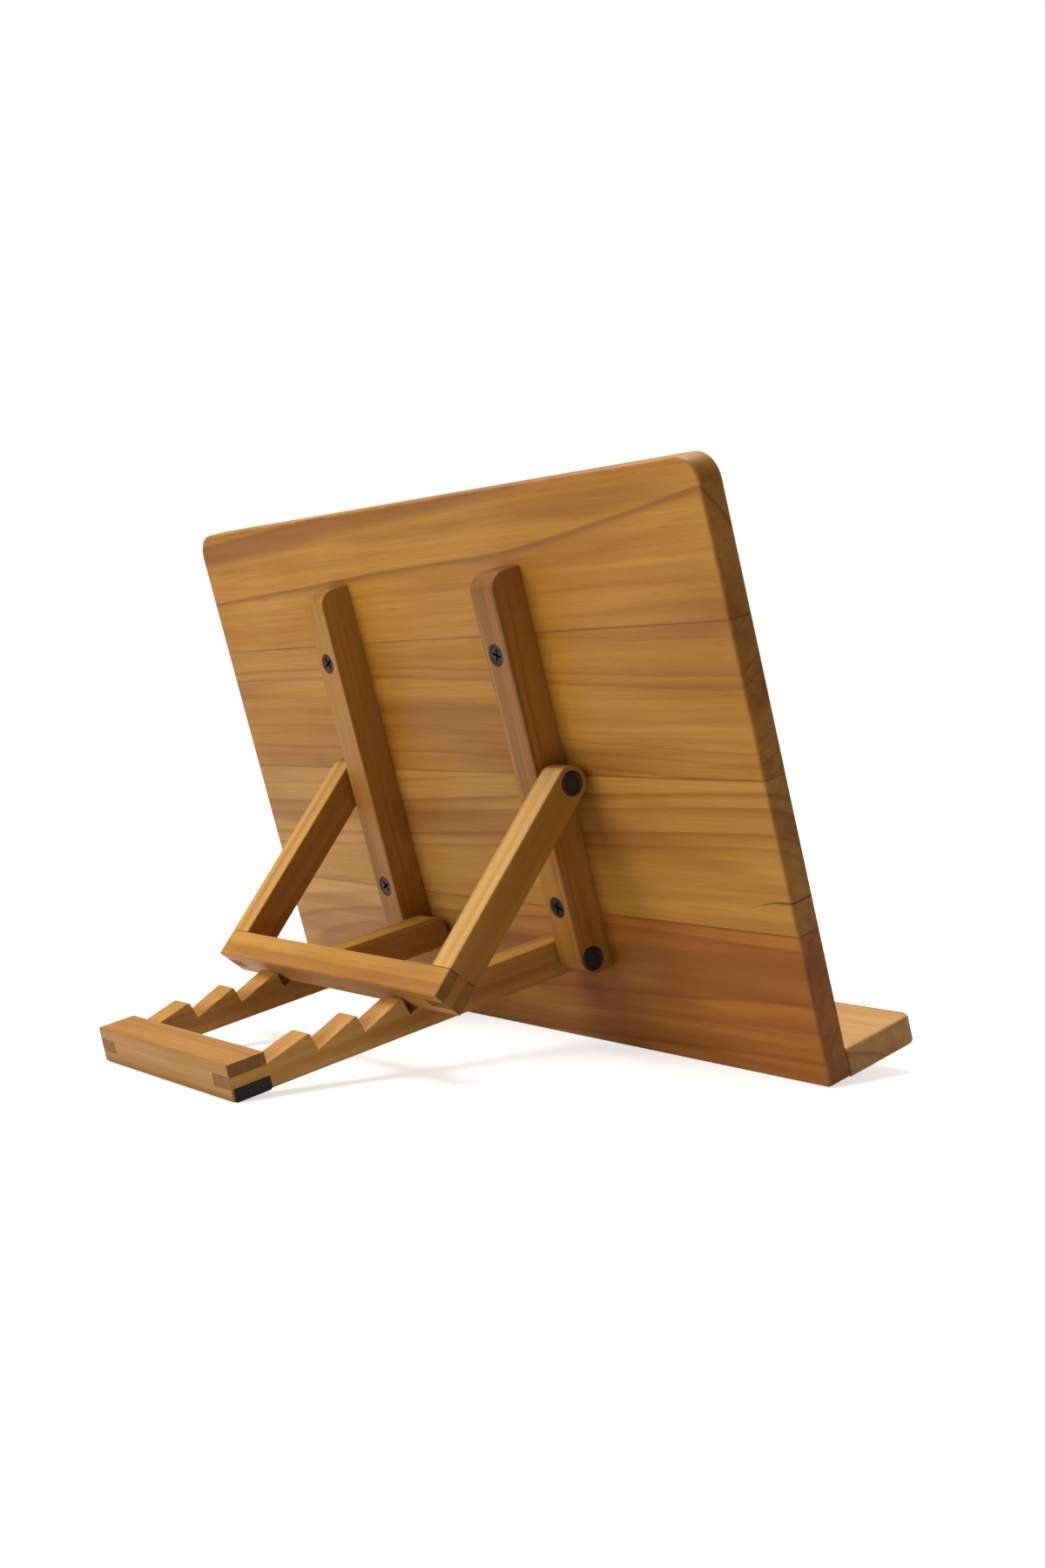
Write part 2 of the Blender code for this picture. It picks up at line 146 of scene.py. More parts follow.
# --- surfaces ---------------------------------------------------------------------------
def corner_arc(before: np.ndarray, corner: np.ndarray, after: np.ndarray,
               radius: float) -> tuple[np.ndarray, np.ndarray]:
    """Round one corner of an outline.

    The arc's centre lies on the bisector, radius / sin(half angle) from the corner, and
    its points swing from one tangent point to the other at an even rate.

    Args:
        before: The corner before it.
        corner: The corner itself.
        after: The corner after it.
        radius: Radius of the arc; 0 leaves the corner sharp.

    Returns:
        The arc's points, and how far each is round the arc as sin(pi t).
    """
    if radius <= 0:
        return corner[None], np.zeros(1)
    back, on = before - corner, after - corner
    back, on = back / np.linalg.norm(back), on / np.linalg.norm(on)
    half = np.arccos(np.clip(back @ on, -1, 1)) / 2
    bisector = (back + on) / np.linalg.norm(back + on)
    centre = corner + bisector * radius / np.sin(half)
    reach = radius / np.tan(half)
    start, end = corner + back * reach - centre, corner + on * reach - centre
    sweep = pi - 2 * half
    steps = next(count for limit, count in ARC_STEPS if radius < limit)
    t = np.linspace(0, 1, steps + 1)[:, None]
    points = centre + (start * np.sin((1 - t) * sweep) + end * np.sin(t * sweep)) / sin(sweep)
    bulge = np.sin(pi * t[:, 0]) * (radius < WORN_CORNER)
    return points, bulge


@dataclass
class Outline:
    """A closed flat outline, counter-clockwise.

    Attributes:
        corners: Its corners, (first, second) each.
        radii: Radius that rounds each corner.
        ease: Share of the edge rounding that each side takes, from a corner to the next.
    """

    corners: list[tuple[float, float]]
    radii: list[float]
    ease: list[float]

    @classmethod
    def box(cls, low: tuple, high: tuple, radii: list[float], ease: list[float]) -> "Outline":
        """A rectangle, traced from its low corner."""
        return cls([low, (high[0], low[1]), high, (low[0], high[1])], radii, ease)

    def traced(self) -> tuple[np.ndarray, np.ndarray, np.ndarray]:
        """Round the corners.

        Returns:
            Points, inward travel of each point for one unit of edge rounding, and how
            far each point is round a small rounded corner.
        """
        corners = np.array(self.corners)
        count = len(corners)
        arcs = [corner_arc(corners[i - 1], corners[i], corners[(i + 1) % count], self.radii[i])
                for i in range(count)]
        points = np.concatenate([arc for arc, _ in arcs])
        bulge = np.concatenate([round_it for _, round_it in arcs])
        ease = np.concatenate([
            np.append(np.full(len(arc) - 1, (self.ease[i - 1] + self.ease[i]) / 2), self.ease[i])
            for i, (arc, _) in enumerate(arcs)])
        step = np.linalg.norm(np.roll(points, -1, axis=0) - points, axis=1)
        keep = step > SMALLEST_STEP
        points, bulge, ease = points[keep], bulge[keep], ease[keep]
        return points, self.inward(points, ease), bulge

    @staticmethod
    def inward(points: np.ndarray, ease: np.ndarray) -> np.ndarray:
        """Work out how each point moves as its two sides move inwards.

        At a sharp corner between unlike sides the travel v satisfies n . v = ease for the
        outward normal n of each side; elsewhere it is the mitre (m + n) / (1 + m . n) times
        their mean ease.

        Args:
            points: The outline's points.
            ease: Travel of each side, from a point to the next.

        Returns:
            Travel of each point, outward positive.
        """
        edges = np.roll(points, -1, axis=0) - points
        normals = np.stack([edges[:, 1], -edges[:, 0]], axis=1)
        normals /= np.linalg.norm(normals, axis=1)[:, None]
        before, ease_before = np.roll(normals, 1, axis=0), np.roll(ease, 1)
        turn = before[:, 0] * normals[:, 1] - before[:, 1] * normals[:, 0]
        sharp = (np.abs(turn) > 0.5) & (np.abs(ease - ease_before) > 1e-9)
        safe = np.where(sharp, turn, 1)
        exact = np.stack([(ease_before * normals[:, 1] - ease * before[:, 1]) / safe,
                          (ease * before[:, 0] - ease_before * normals[:, 0]) / safe], axis=1)
        share = (ease_before + ease) / 2 / (1 + (before * normals).sum(axis=1))
        return np.where(sharp[:, None], exact, (before + normals) * share[:, None])


def rounded_rings(low: float, high: float, radius: float,
                  steps: int = 4) -> tuple[np.ndarray, np.ndarray, np.ndarray]:
    """Rings that round over both ends of a carried outline.

    At angle a from 0 to 90 degrees a ring lies radius (1 - cos a) in from the end and is
    drawn in by radius (1 - sin a).

    Args:
        low: Where the piece starts.
        high: Where it ends.
        radius: Radius of the rounded edge.
        steps: Rings to each quarter turn.

    Returns:
        Position of each ring, its inset, and sin(2 a), which is 1 midway round the edge.
    """
    angle = np.linspace(0, pi / 2, steps + 1)
    rise, inset = radius * (1 - np.cos(angle)), radius * (1 - np.sin(angle))
    bulge = np.sin(2 * angle)
    return (np.concatenate([low + rise, (high - rise)[::-1]]),
            np.concatenate([inset, inset[::-1]]), np.concatenate([bulge, bulge[::-1]]))


def mesh_round(rows: int, columns: int) -> list[list[int]]:
    """Number the faces of a grid whose rows close round on themselves.

    Face (i, j) has the corners (i, j), (i, j + 1), (i + 1, j + 1) and (i + 1, j).

    Args:
        rows: Rings of points.
        columns: Points to each ring.

    Returns:
        Vertex numbers of each face.
    """
    number = np.arange(rows * columns).reshape(rows, columns)
    lower, upper = number[:-1], number[1:]
    corners = [lower, np.roll(lower, -1, axis=1), np.roll(upper, -1, axis=1), upper]
    return np.stack(corners, axis=-1).reshape(-1, 4).tolist()


def make_piece(name: str, points: np.ndarray, faces: list,
               **layers: np.ndarray) -> bpy.types.Object:
    """Put points and faces into a new object at the origin.

    Args:
        name: The piece's name.
        points: Its vertices in the stand's frame.
        faces: Vertex numbers of each face.
        **layers: Values at the vertices: "arris" is 1 along the middle of each rounded
            edge, "seam" is 1 along the edges that lie in a glued joint.

    Returns:
        The new object.
    """
    mesh = bpy.data.meshes.new(name)
    mesh.from_pydata(points.tolist(), [], faces)
    for key, values in layers.items():
        layer = mesh.attributes.new(key, "FLOAT", "POINT")
        layer.data.foreach_set("value", values.astype(np.float32))
    mesh.update()
    piece = bpy.data.objects.new(name, mesh)
    bpy.context.scene.collection.objects.link(piece)
    return piece


def carried(name: str, outline: Outline, along: Along, rings: tuple,
            place: Place) -> bpy.types.Object:
    """Carry an outline along a line, ring by ring, and close both ends.

    Point (ring i, outline j) = outline point j - inset i * inward travel j, at position i.

    Args:
        name: The piece's name.
        outline: The outline.
        along: The line.
        rings: Position, inset and bulge of each ring.
        place: The frame of reference.

    Returns:
        The new object.
    """
    positions, insets, ring_bulge = rings
    flat, inward, bulge = outline.traced()
    grid = flat[None] - insets[:, None, None] * inward[None]
    travel = np.broadcast_to(positions[:, None, None], grid.shape[:2] + (1,))
    points = np.concatenate([grid, travel], axis=2)[..., list(along.value)]
    eased = np.clip(np.linalg.norm(inward, axis=1), 0, 1)
    arris = np.maximum(ring_bulge[:, None] * eased[None], bulge[None] * (insets < 1e-9)[:, None])
    seam = (ring_bulge > 0.3)[:, None] * (eased < 0.6)[None]
    rows, columns = grid.shape[:2]
    ends = [list(range(columns))[::-1], list(range((rows - 1) * columns, rows * columns))]
    faces = mesh_round(rows, columns) + ends
    if along is Along.Y:
        faces = [face[::-1] for face in faces]
    return make_piece(name, place.out(points.reshape(-1, 3)), faces, arris=arris.reshape(-1),
                      seam=seam.reshape(-1))


def turned(name: str, profile: list[tuple[float, float]], origin: np.ndarray, axis: np.ndarray,
           steps: int = 48) -> bpy.types.Object:
    """Turn a profile about an axis.

    Point (i, j) = origin + height i * axis + radius i * (cos angle j, sin angle j) in the
    plane square to the axis. Points on the axis are merged into poles.

    Args:
        name: The piece's name.
        profile: (radius, height) from one pole to the other.
        origin: Where height 0 is.
        axis: Unit direction of rising height.
        steps: Facets round the axis.

    Returns:
        The new object.
    """
    radius, height = np.array(profile).T
    angle = np.linspace(0, 2 * pi, steps, endpoint=False)
    first = np.cross(axis, (0.36, 0.48, 0.8))
    first /= np.linalg.norm(first)
    second = np.cross(axis, first)
    round_axis = np.cos(angle)[:, None] * first + np.sin(angle)[:, None] * second
    points = origin + height[:, None, None] * axis + radius[:, None, None] * round_axis[None]
    piece = make_piece(name, points.reshape(-1, 3), mesh_round(len(radius), steps))
    builder = bmesh.new()
    builder.from_mesh(piece.data)
    bmesh.ops.remove_doubles(builder, verts=builder.verts, dist=1e-6)
    bmesh.ops.recalc_face_normals(builder, faces=builder.faces)
    builder.to_mesh(piece.data)
    builder.free()
    return piece


def settle(piece: bpy.types.Object) -> None:
    """Replace a piece's mesh by what its modifiers make of it."""
    bpy.context.view_layer.update()
    seen = piece.evaluated_get(bpy.context.evaluated_depsgraph_get())
    old, piece.data = piece.data, bpy.data.meshes.new_from_object(seen)
    piece.modifiers.clear()
    bpy.data.meshes.remove(old)


def bored(piece: bpy.types.Object, *cutters: bpy.types.Object) -> bpy.types.Object:
    """Take each cutter's shape out of a piece and throw the cutters away."""
    for cutter in cutters:
        modifier = piece.modifiers.new(cutter.name, "BOOLEAN")
        modifier.operation, modifier.solver, modifier.object = "DIFFERENCE", "EXACT", cutter
    settle(piece)
    for cutter in cutters:
        bpy.data.objects.remove(cutter)
    return piece


def shaded(piece: bpy.types.Object, sharp: float = 42.0) -> bpy.types.Object:
    """Shade a piece smooth over its rounded edges, with its flats left flat.

    Args:
        piece: The piece.
        sharp: Edges turning more than this many degrees stay sharp.

    Returns:
        The same piece.
    """
    piece.data.shade_smooth()
    piece.data.set_sharp_from_angle(angle=radians(sharp))
    modifier = piece.modifiers.new("flat_faces", "WEIGHTED_NORMAL")
    modifier.keep_sharp, modifier.weight = True, 60
    settle(piece)
    return piece


def finished(piece: bpy.types.Object, node: str, body: str,
             material: bpy.types.Material) -> bpy.types.Object:
    """Shade and dress a piece and let it stand for its solid.

    Args:
        piece: The piece.
        node: The solid it replaces.
        body: The body it moves with.
        material: Its finish.

    Returns:
        The same piece.
    """
    shaded(piece)
    piece.data.materials.clear()
    piece.data.materials.append(material)
    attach(piece, body)
    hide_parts(node)
    log.info("%s: %d faces on %s", piece.name, len(piece.data.polygons), body)
    return piece


def dress_solid(node: str, material: bpy.types.Material) -> None:
    """Give a solid that is shown as it is a better material."""
    frame["nodes"][node].material_slots[0].material = material
    log.info("%s: dressed", node)


# --- shader helpers ---------------------------------------------------------------------
def stain(red: int, green: int, blue: int) -> Colour:
    """Linear colour of a swatch given in 0 to 255."""
    values = np.array([red, green, blue]) / 255
    linear = np.where(values <= 0.04045, values / 12.92, ((values + 0.055) / 1.055) ** 2.4)
    return (*linear.tolist(), 1.0)


@dataclass(frozen=True)
class Wire:
    """An output in a shader tree; a sum with it adds a node.

    Attributes:
        bench: The bench on its tree.
        socket: The output.
    """

    bench: "Bench"
    socket: bpy.types.NodeSocket

    def math(self, operation: str, *others: object) -> "Wire":
        """One sum on it and others, each a number or a wire."""
        return self.bench.take("ShaderNodeMath", self, *others, operation=operation)

    def __add__(self, other: object) -> "Wire":
        """It plus another."""
        return self.math("ADD", other)

    def __sub__(self, other: object) -> "Wire":
        """It less another."""
        return self.math("SUBTRACT", other)

    def __mul__(self, other: object) -> "Wire":
        """It times another."""
        return self.math("MULTIPLY", other)

    def __truediv__(self, other: object) -> "Wire":
        """It divided by another."""
        return self.math("DIVIDE", other)

    def span(self, low: object, high: object, bottom: object = 0.0, top: object = 1.0) -> "Wire":
        """It, eased from low..high to bottom..top."""
        return self.bench.take("ShaderNodeMapRange", self, low, high, bottom, top,
                               interpolation_type="SMOOTHSTEP")


@dataclass(frozen=True)
class Bench:
    """Places nodes in a shader tree and joins them.

    Attributes:
        tree: The tree.
    """

    tree: bpy.types.NodeTree

    def fill(self, socket: bpy.types.NodeSocket, feed: object) -> None:
        """Join a wire to a socket, or set the socket's own value.

        Args:
            socket: The socket.
            feed: A wire, a value, or None to leave it alone.
        """
        if isinstance(feed, Wire):
            self.tree.links.new(feed.socket, socket)
        elif feed is not None:
            socket.default_value = feed

    def place(self, kind: str, *feeds: object, **settings: object) -> bpy.types.Node:
        """Add a node.

        Args:
            kind: The node's type.
            *feeds: What fills its inputs, in order; None leaves one alone.
            **settings: Its properties.

        Returns:
            The node.
        """
        node = self.tree.nodes.new(kind)
        for key, value in settings.items():
            setattr(node, key, value)
        for socket, feed in zip(node.inputs, feeds):
            self.fill(socket, feed)
        return node

    def take(self, kind: str, *feeds: object, output: int | str = 0, **settings: object) -> Wire:
        """Add a node and take one of its outputs."""
        return Wire(self, self.place(kind, *feeds, **settings).outputs[output])

    def parts(self, vector: Wire) -> list[Wire]:
        """The x, y and z of a vector."""
        return [Wire(self, part) for part in self.place("ShaderNodeSeparateXYZ", vector).outputs]

    def noise(self, vector: Wire, scale: Point, shift: object, detail: float = 2.0,
              roughness: float = 0.5, output: int = 0) -> Wire:
        """Cloudy noise.

        Args:
            vector: Where it is read.
            scale: How it is drawn together along each axis.
            shift: How far it is moved, as a seed.
            detail: Its octaves.
            roughness: Share of each finer octave.
            output: 0 for one value, 1 for three.

        Returns:
            The noise, about 0.5 on average.
        """
        stretched = self.take("ShaderNodeVectorMath", vector, scale, operation="MULTIPLY")
        moved = self.take("ShaderNodeVectorMath", stretched,
                          self.take("ShaderNodeCombineXYZ", shift, shift, shift), operation="ADD")
        return self.take("ShaderNodeTexNoise", moved, None, 1.0, detail, roughness, output=output)

    def mix(self, factor: object, first: object, second: object, mode: str = "MIX") -> Wire:
        """Mix two colours.

        Args:
            factor: Share of the second.
            first: One colour.
            second: The other.
            mode: How they blend.

        Returns:
            The mixed colour.
        """
        node = self.place("ShaderNodeMix", data_type="RGBA", blend_type=mode)
        for index, feed in ((0, factor), (6, first), (7, second)):
            self.fill(node.inputs[index], feed)
        return Wire(self, node.outputs[2])

    def laid(self, colour: Wire, *over: tuple[Wire, Colour]) -> Wire:
        """Lay colours over another.

        Args:
            colour: The one underneath.
            *over: Factor and colour of each that is laid over it, in order.

        Returns:
            The colour on top.
        """
        for factor, other in over:
            colour = self.mix(factor, colour, other)
        return colour

    def group(self, tree: bpy.types.NodeTree, **feeds: object) -> dict[str, Wire]:
        """Add a shared group.

        Args:
            tree: The group.
            **feeds: What fills its inputs.

        Returns:
            Its outputs by name.
        """
        node = self.place("ShaderNodeGroup", node_tree=tree)
        for key, feed in feeds.items():
            self.fill(node.inputs[key], feed)
        return {socket.name: Wire(self, socket) for socket in node.outputs}


# --- shared effects ---------------------------------------------------------------------
ZERO = (0.0, 0.0, 0.0)


def effect(**inputs: object) -> Callable:
    """Turn a recipe into a shader group that several finishes share.

    Args:
        **inputs: The default of each input, a number or a vector. The recipe is handed a
            wire for each, in this order.

    Returns:
        The decorator, which puts the group in the recipe's place.
    """
    def build(recipe: Callable) -> bpy.types.NodeTree:
        """Build the group from its recipe."""
        tree = bpy.data.node_groups.new(recipe.__name__, "ShaderNodeTree")
        for key, value in inputs.items():
            kind = "NodeSocketFloat" if isinstance(value, float) else "NodeSocketVector"
            socket = tree.interface.new_socket(name=key, in_out="INPUT", socket_type=kind)
            socket.default_value = value
        bench, entry = Bench(tree), tree.nodes.new("NodeGroupInput")
        made = recipe(bench, *(Wire(bench, entry.outputs[key]) for key in inputs))
        for key in made:
            tree.interface.new_socket(name=key, in_out="OUTPUT", socket_type="NodeSocketFloat")
        close = tree.nodes.new("NodeGroupOutput")
        for key, wire in made.items():
            bench.fill(close.inputs[key], wire)
        return tree
    return build


@effect(Grain=ZERO, Seed=0.0, Spacing=0.005, Across=0.05, Depth=-0.03, Lean=0.0, Wander=0.006)
def growth_rings(bench: Bench, grain: Wire, seed: Wire, spacing: Wire, across: Wire, depth: Wire,
                 lean: Wire, wander: Wire) -> dict[str, Wire]:
    """Growth rings of a log: rings are even steps of the distance from its pith.

    The pith is a line beside the piece that leans and wanders along the grain. Each ring
    darkens slowly, ends sharply, and has its own strength.

    Args:
        bench: The bench on the group.
        grain: Place in the piece, x along the grain.
        seed: Sets the piece apart.
        spacing: Distance between rings.
        across: The pith's place across the piece.
        depth: The pith's place through the piece.
        lean: How fast the pith moves across along the grain.
        wander: How far the rings wander.

    Returns:
        Late wood at the end of each ring, and the strength of each ring.
    """
    x, y, z = bench.parts(grain)
    sway = bench.parts(bench.noise(grain, (3.2, 7.0, 7.0), seed, 1.0, output=1))
    ripple = (bench.noise(grain, (26.0, 110.0, 110.0), seed) - 0.5) * 0.0014
    side = y - across + x * lean + (sway[0] - 0.5) * wander + ripple
    below = z - depth + (sway[1] - 0.5) * wander
    count = (side * side + below * below).math("SQRT") / spacing
    uneven = bench.take("ShaderNodeTexNoise", None, count * 0.4 + seed, 1.0, 1.0,
                        noise_dimensions="1D")
    count = count + uneven * 3.0
    share, ring = count.math("FRACT"), count.math("FLOOR")
    strength = bench.take("ShaderNodeTexWhiteNoise", None, ring + seed, noise_dimensions="1D")
    late = share.span(0.25, 0.9).math("POWER", 2.2) * share.span(0.9, 1.0, 1.0, 0.0)
    return {"Line": late * strength.span(0.0, 1.0, 0.12, 1.0), "Band": strength}


@effect(Grain=ZERO, Seed=0.0)
def fibres(bench: Bench, grain: Wire, seed: Wire) -> dict[str, Wire]:
    """Fibres, streaks, clouds and pores: noise drawn out along the grain at four scales.

    Args:
        bench: The bench on the group.
        grain: Place in the piece, x along the grain.
        seed: Sets the piece apart.

    Returns:
        A mask of each.
    """
    kinds = {"Fibre": (22.0, 1100.0, 3.0, 0.6, 0.28, 0.72),
             "Streak": (5.0, 210.0, 3.0, 0.6, 0.3, 0.7),
             "Cloud": (7.0, 30.0, 2.0, 0.5, 0.32, 0.68),
             "Pore": (120.0, 1900.0, 1.0, 0.5, 0.66, 0.76)}
    return {key: bench.noise(grain, (along, across, across), seed, detail, rough).span(low, high)
            for key, (along, across, detail, rough, low, high) in kinds.items()}


@effect(Normal=(0.0, 0.0, 1.0), Along=(1.0, 0.0, 0.0))
def end_grain(bench: Bench, normal: Wire, along: Wire) -> dict[str, Wire]:
    """Where the grain comes out of the surface: the normal's share along the grain.

    Args:
        bench: The bench on the group.
        normal: The surface's normal.
        along: Direction of the grain.

    Returns:
        1 on end grain, 0 on long grain.
    """
    share = bench.take("ShaderNodeVectorMath", normal, along, output="Value",
                       operation="DOT_PRODUCT")
    return {"End": share.math("ABSOLUTE").span(0.45, 0.85)}


@effect(Place=ZERO, Seed=0.0)
def edges(bench: Bench, place: Wire, seed: Wire) -> dict[str, Wire]:
    """Rounded edges, pale patches along them that are partly wear and partly painted highlight, and
    those that lie in a glued joint.

    Args:
        bench: The bench on the group.
        place: Place on the piece.
        seed: Sets the piece apart.

    Returns:
        A mask of each.
    """
    arris, seam = (bench.take("ShaderNodeAttribute", output="Fac", attribute_name=layer)
                   for layer in ("arris", "seam"))
    patches = bench.noise(place, (60.0, 60.0, 60.0), seed, 3.0).span(0.42, 0.62)
    return {"WornAndHighlit": arris * patches, "Edge": arris, "Seam": seam}


@effect(Place=ZERO, Seed=0.0)
def handling(bench: Bench, place: Wire, seed: Wire) -> dict[str, Wire]:
    """Where hands and cloths have been: broad soft patches and fine scuffs.

    Args:
        bench: The bench on the group.
        place: Place on the piece.
        seed: Sets the piece apart.

    Returns:
        A mask of each.
    """
    return {"Patch": bench.noise(place, (14.0, 14.0, 14.0), seed, 3.0, 0.6).span(0.35, 0.65),
            "Scuff": bench.noise(place, (420.0, 420.0, 420.0), seed).span(0.3, 0.7)}


@effect(Grain=ZERO, Half=0.027, Lower=1.0, Upper=1.0, Seed=0.0)
def glue_lines(bench: Bench, grain: Wire, half: Wire, lower: Wire, upper: Wire,
               seed: Wire) -> dict[str, Wire]:
    """Dark line of glue along a piece's two long sides, stronger here and there.

    Args:
        bench: The bench on the group.
        grain: Place in the piece, x along the grain.
        half: Half the width between the glued sides.
        lower: Strength of the line on the lower side.
        upper: Strength of the line on the upper side.
        seed: Sets the piece apart.

    Returns:
        A mask of the lines.
    """
    across = bench.parts(grain)[1]
    patch = bench.noise(grain, (11.0, 0.0, 0.0), seed).span(0.3, 0.62, 0.25, 1.0)
    below = (across + half).span(0.0, 0.0005, 1.0, 0.0) * lower
    above = (half - across).span(0.0, 0.0005, 1.0, 0.0) * upper
    return {"Glue": below.math("MAXIMUM", above) * patch}


@effect(Grain=ZERO, Height=0.0, Slope=0.0, Start=-0.175, Length=0.03, Seed=0.0)
def splits(bench: Bench, grain: Wire, height: Wire, slope: Wire, start: Wire, length: Wire,
           seed: Wire) -> dict[str, Wire]:
    """A drying split: a thin wandering line that fades out along the grain.

    Args:
        bench: The bench on the group.
        grain: Place in the piece, x along the grain.
        height: Where it starts across the piece.
        slope: How fast it rises along the grain.
        start: Where it starts along the grain.
        length: How far it runs.
        seed: Sets the piece apart.

    Returns:
        A mask of the split.
    """
    x, y, _ = bench.parts(grain)
    wander = (bench.noise(grain, (70.0, 10.0, 10.0), seed) - 0.5) * 0.003
    run = x - start
    off = (y - (height + run * slope + wander)).math("ABSOLUTE")
    fade = run.span(0.0, length, 1.0, 0.0)
    return {"Split": off.span(0.0, fade * 0.0005 + 0.0001, 1.0, 0.0) * fade}


# --- finishes ---------------------------------------------------------------------------
@dataclass(frozen=True)
class Grain:
    """How the grain lies in a piece.

    Attributes:
        centre: A point in the middle of the piece.
        along: Unit direction of the grain.
        across: Unit direction across its wide face.
    """

    centre: Point
    along: Point
    across: Point

    def mapping(self, bench: Bench) -> Wire:
        """Object coordinates turned and centred so that x runs along the grain."""
        depth = np.cross(self.along, self.across)
        turn = Matrix(np.array([self.along, self.across, depth]).T.tolist()).to_euler()
        where = bench.take("ShaderNodeTexCoord", output="Object")
        return bench.take("ShaderNodeMapping", where, self.centre, tuple(turn),
                          vector_type="TEXTURE")


@dataclass(frozen=True)
class Blank:
    """A material that is being made.

    Attributes:
        material: The material.
        bench: The bench on its tree.
        shader: Its Principled shader.
    """

    material: bpy.types.Material
    bench: Bench
    shader: bpy.types.Node

    @classmethod
    def start(cls, name: str, **constants: object) -> "Blank":
        """Start a material.

        Args:
            name: Its name.
            **constants: Values of the shader's own sockets, spaces written as _.

        Returns:
            The material.
        """
        material = bpy.data.materials.new(name)
        material.use_nodes = True
        shader = material.node_tree.nodes["Principled BSDF"]
        for key, value in constants.items():
            shader.inputs[key.replace("_", " ")].default_value = value
        return cls(material, Bench(material.node_tree), shader)

    def feed(self, **wires: Wire) -> None:
        """Join wires to the shader's sockets, spaces written as _."""
        for key, wire in wires.items():
            self.bench.fill(self.shader.inputs[key.replace("_", " ")], wire)

    def bump(self, strength: float, depth: float, height: Wire) -> Wire:
        """Turn a height into a normal.

        Args:
            strength: How strongly it shows.
            depth: Its depth in metres.
            height: The height, 0 to 1.

        Returns:
            The normal.
        """
        node = self.bench.place("ShaderNodeBump", strength, depth)
        self.bench.fill(node.inputs["Height"], height)
        return Wire(self.bench, node.outputs[0])


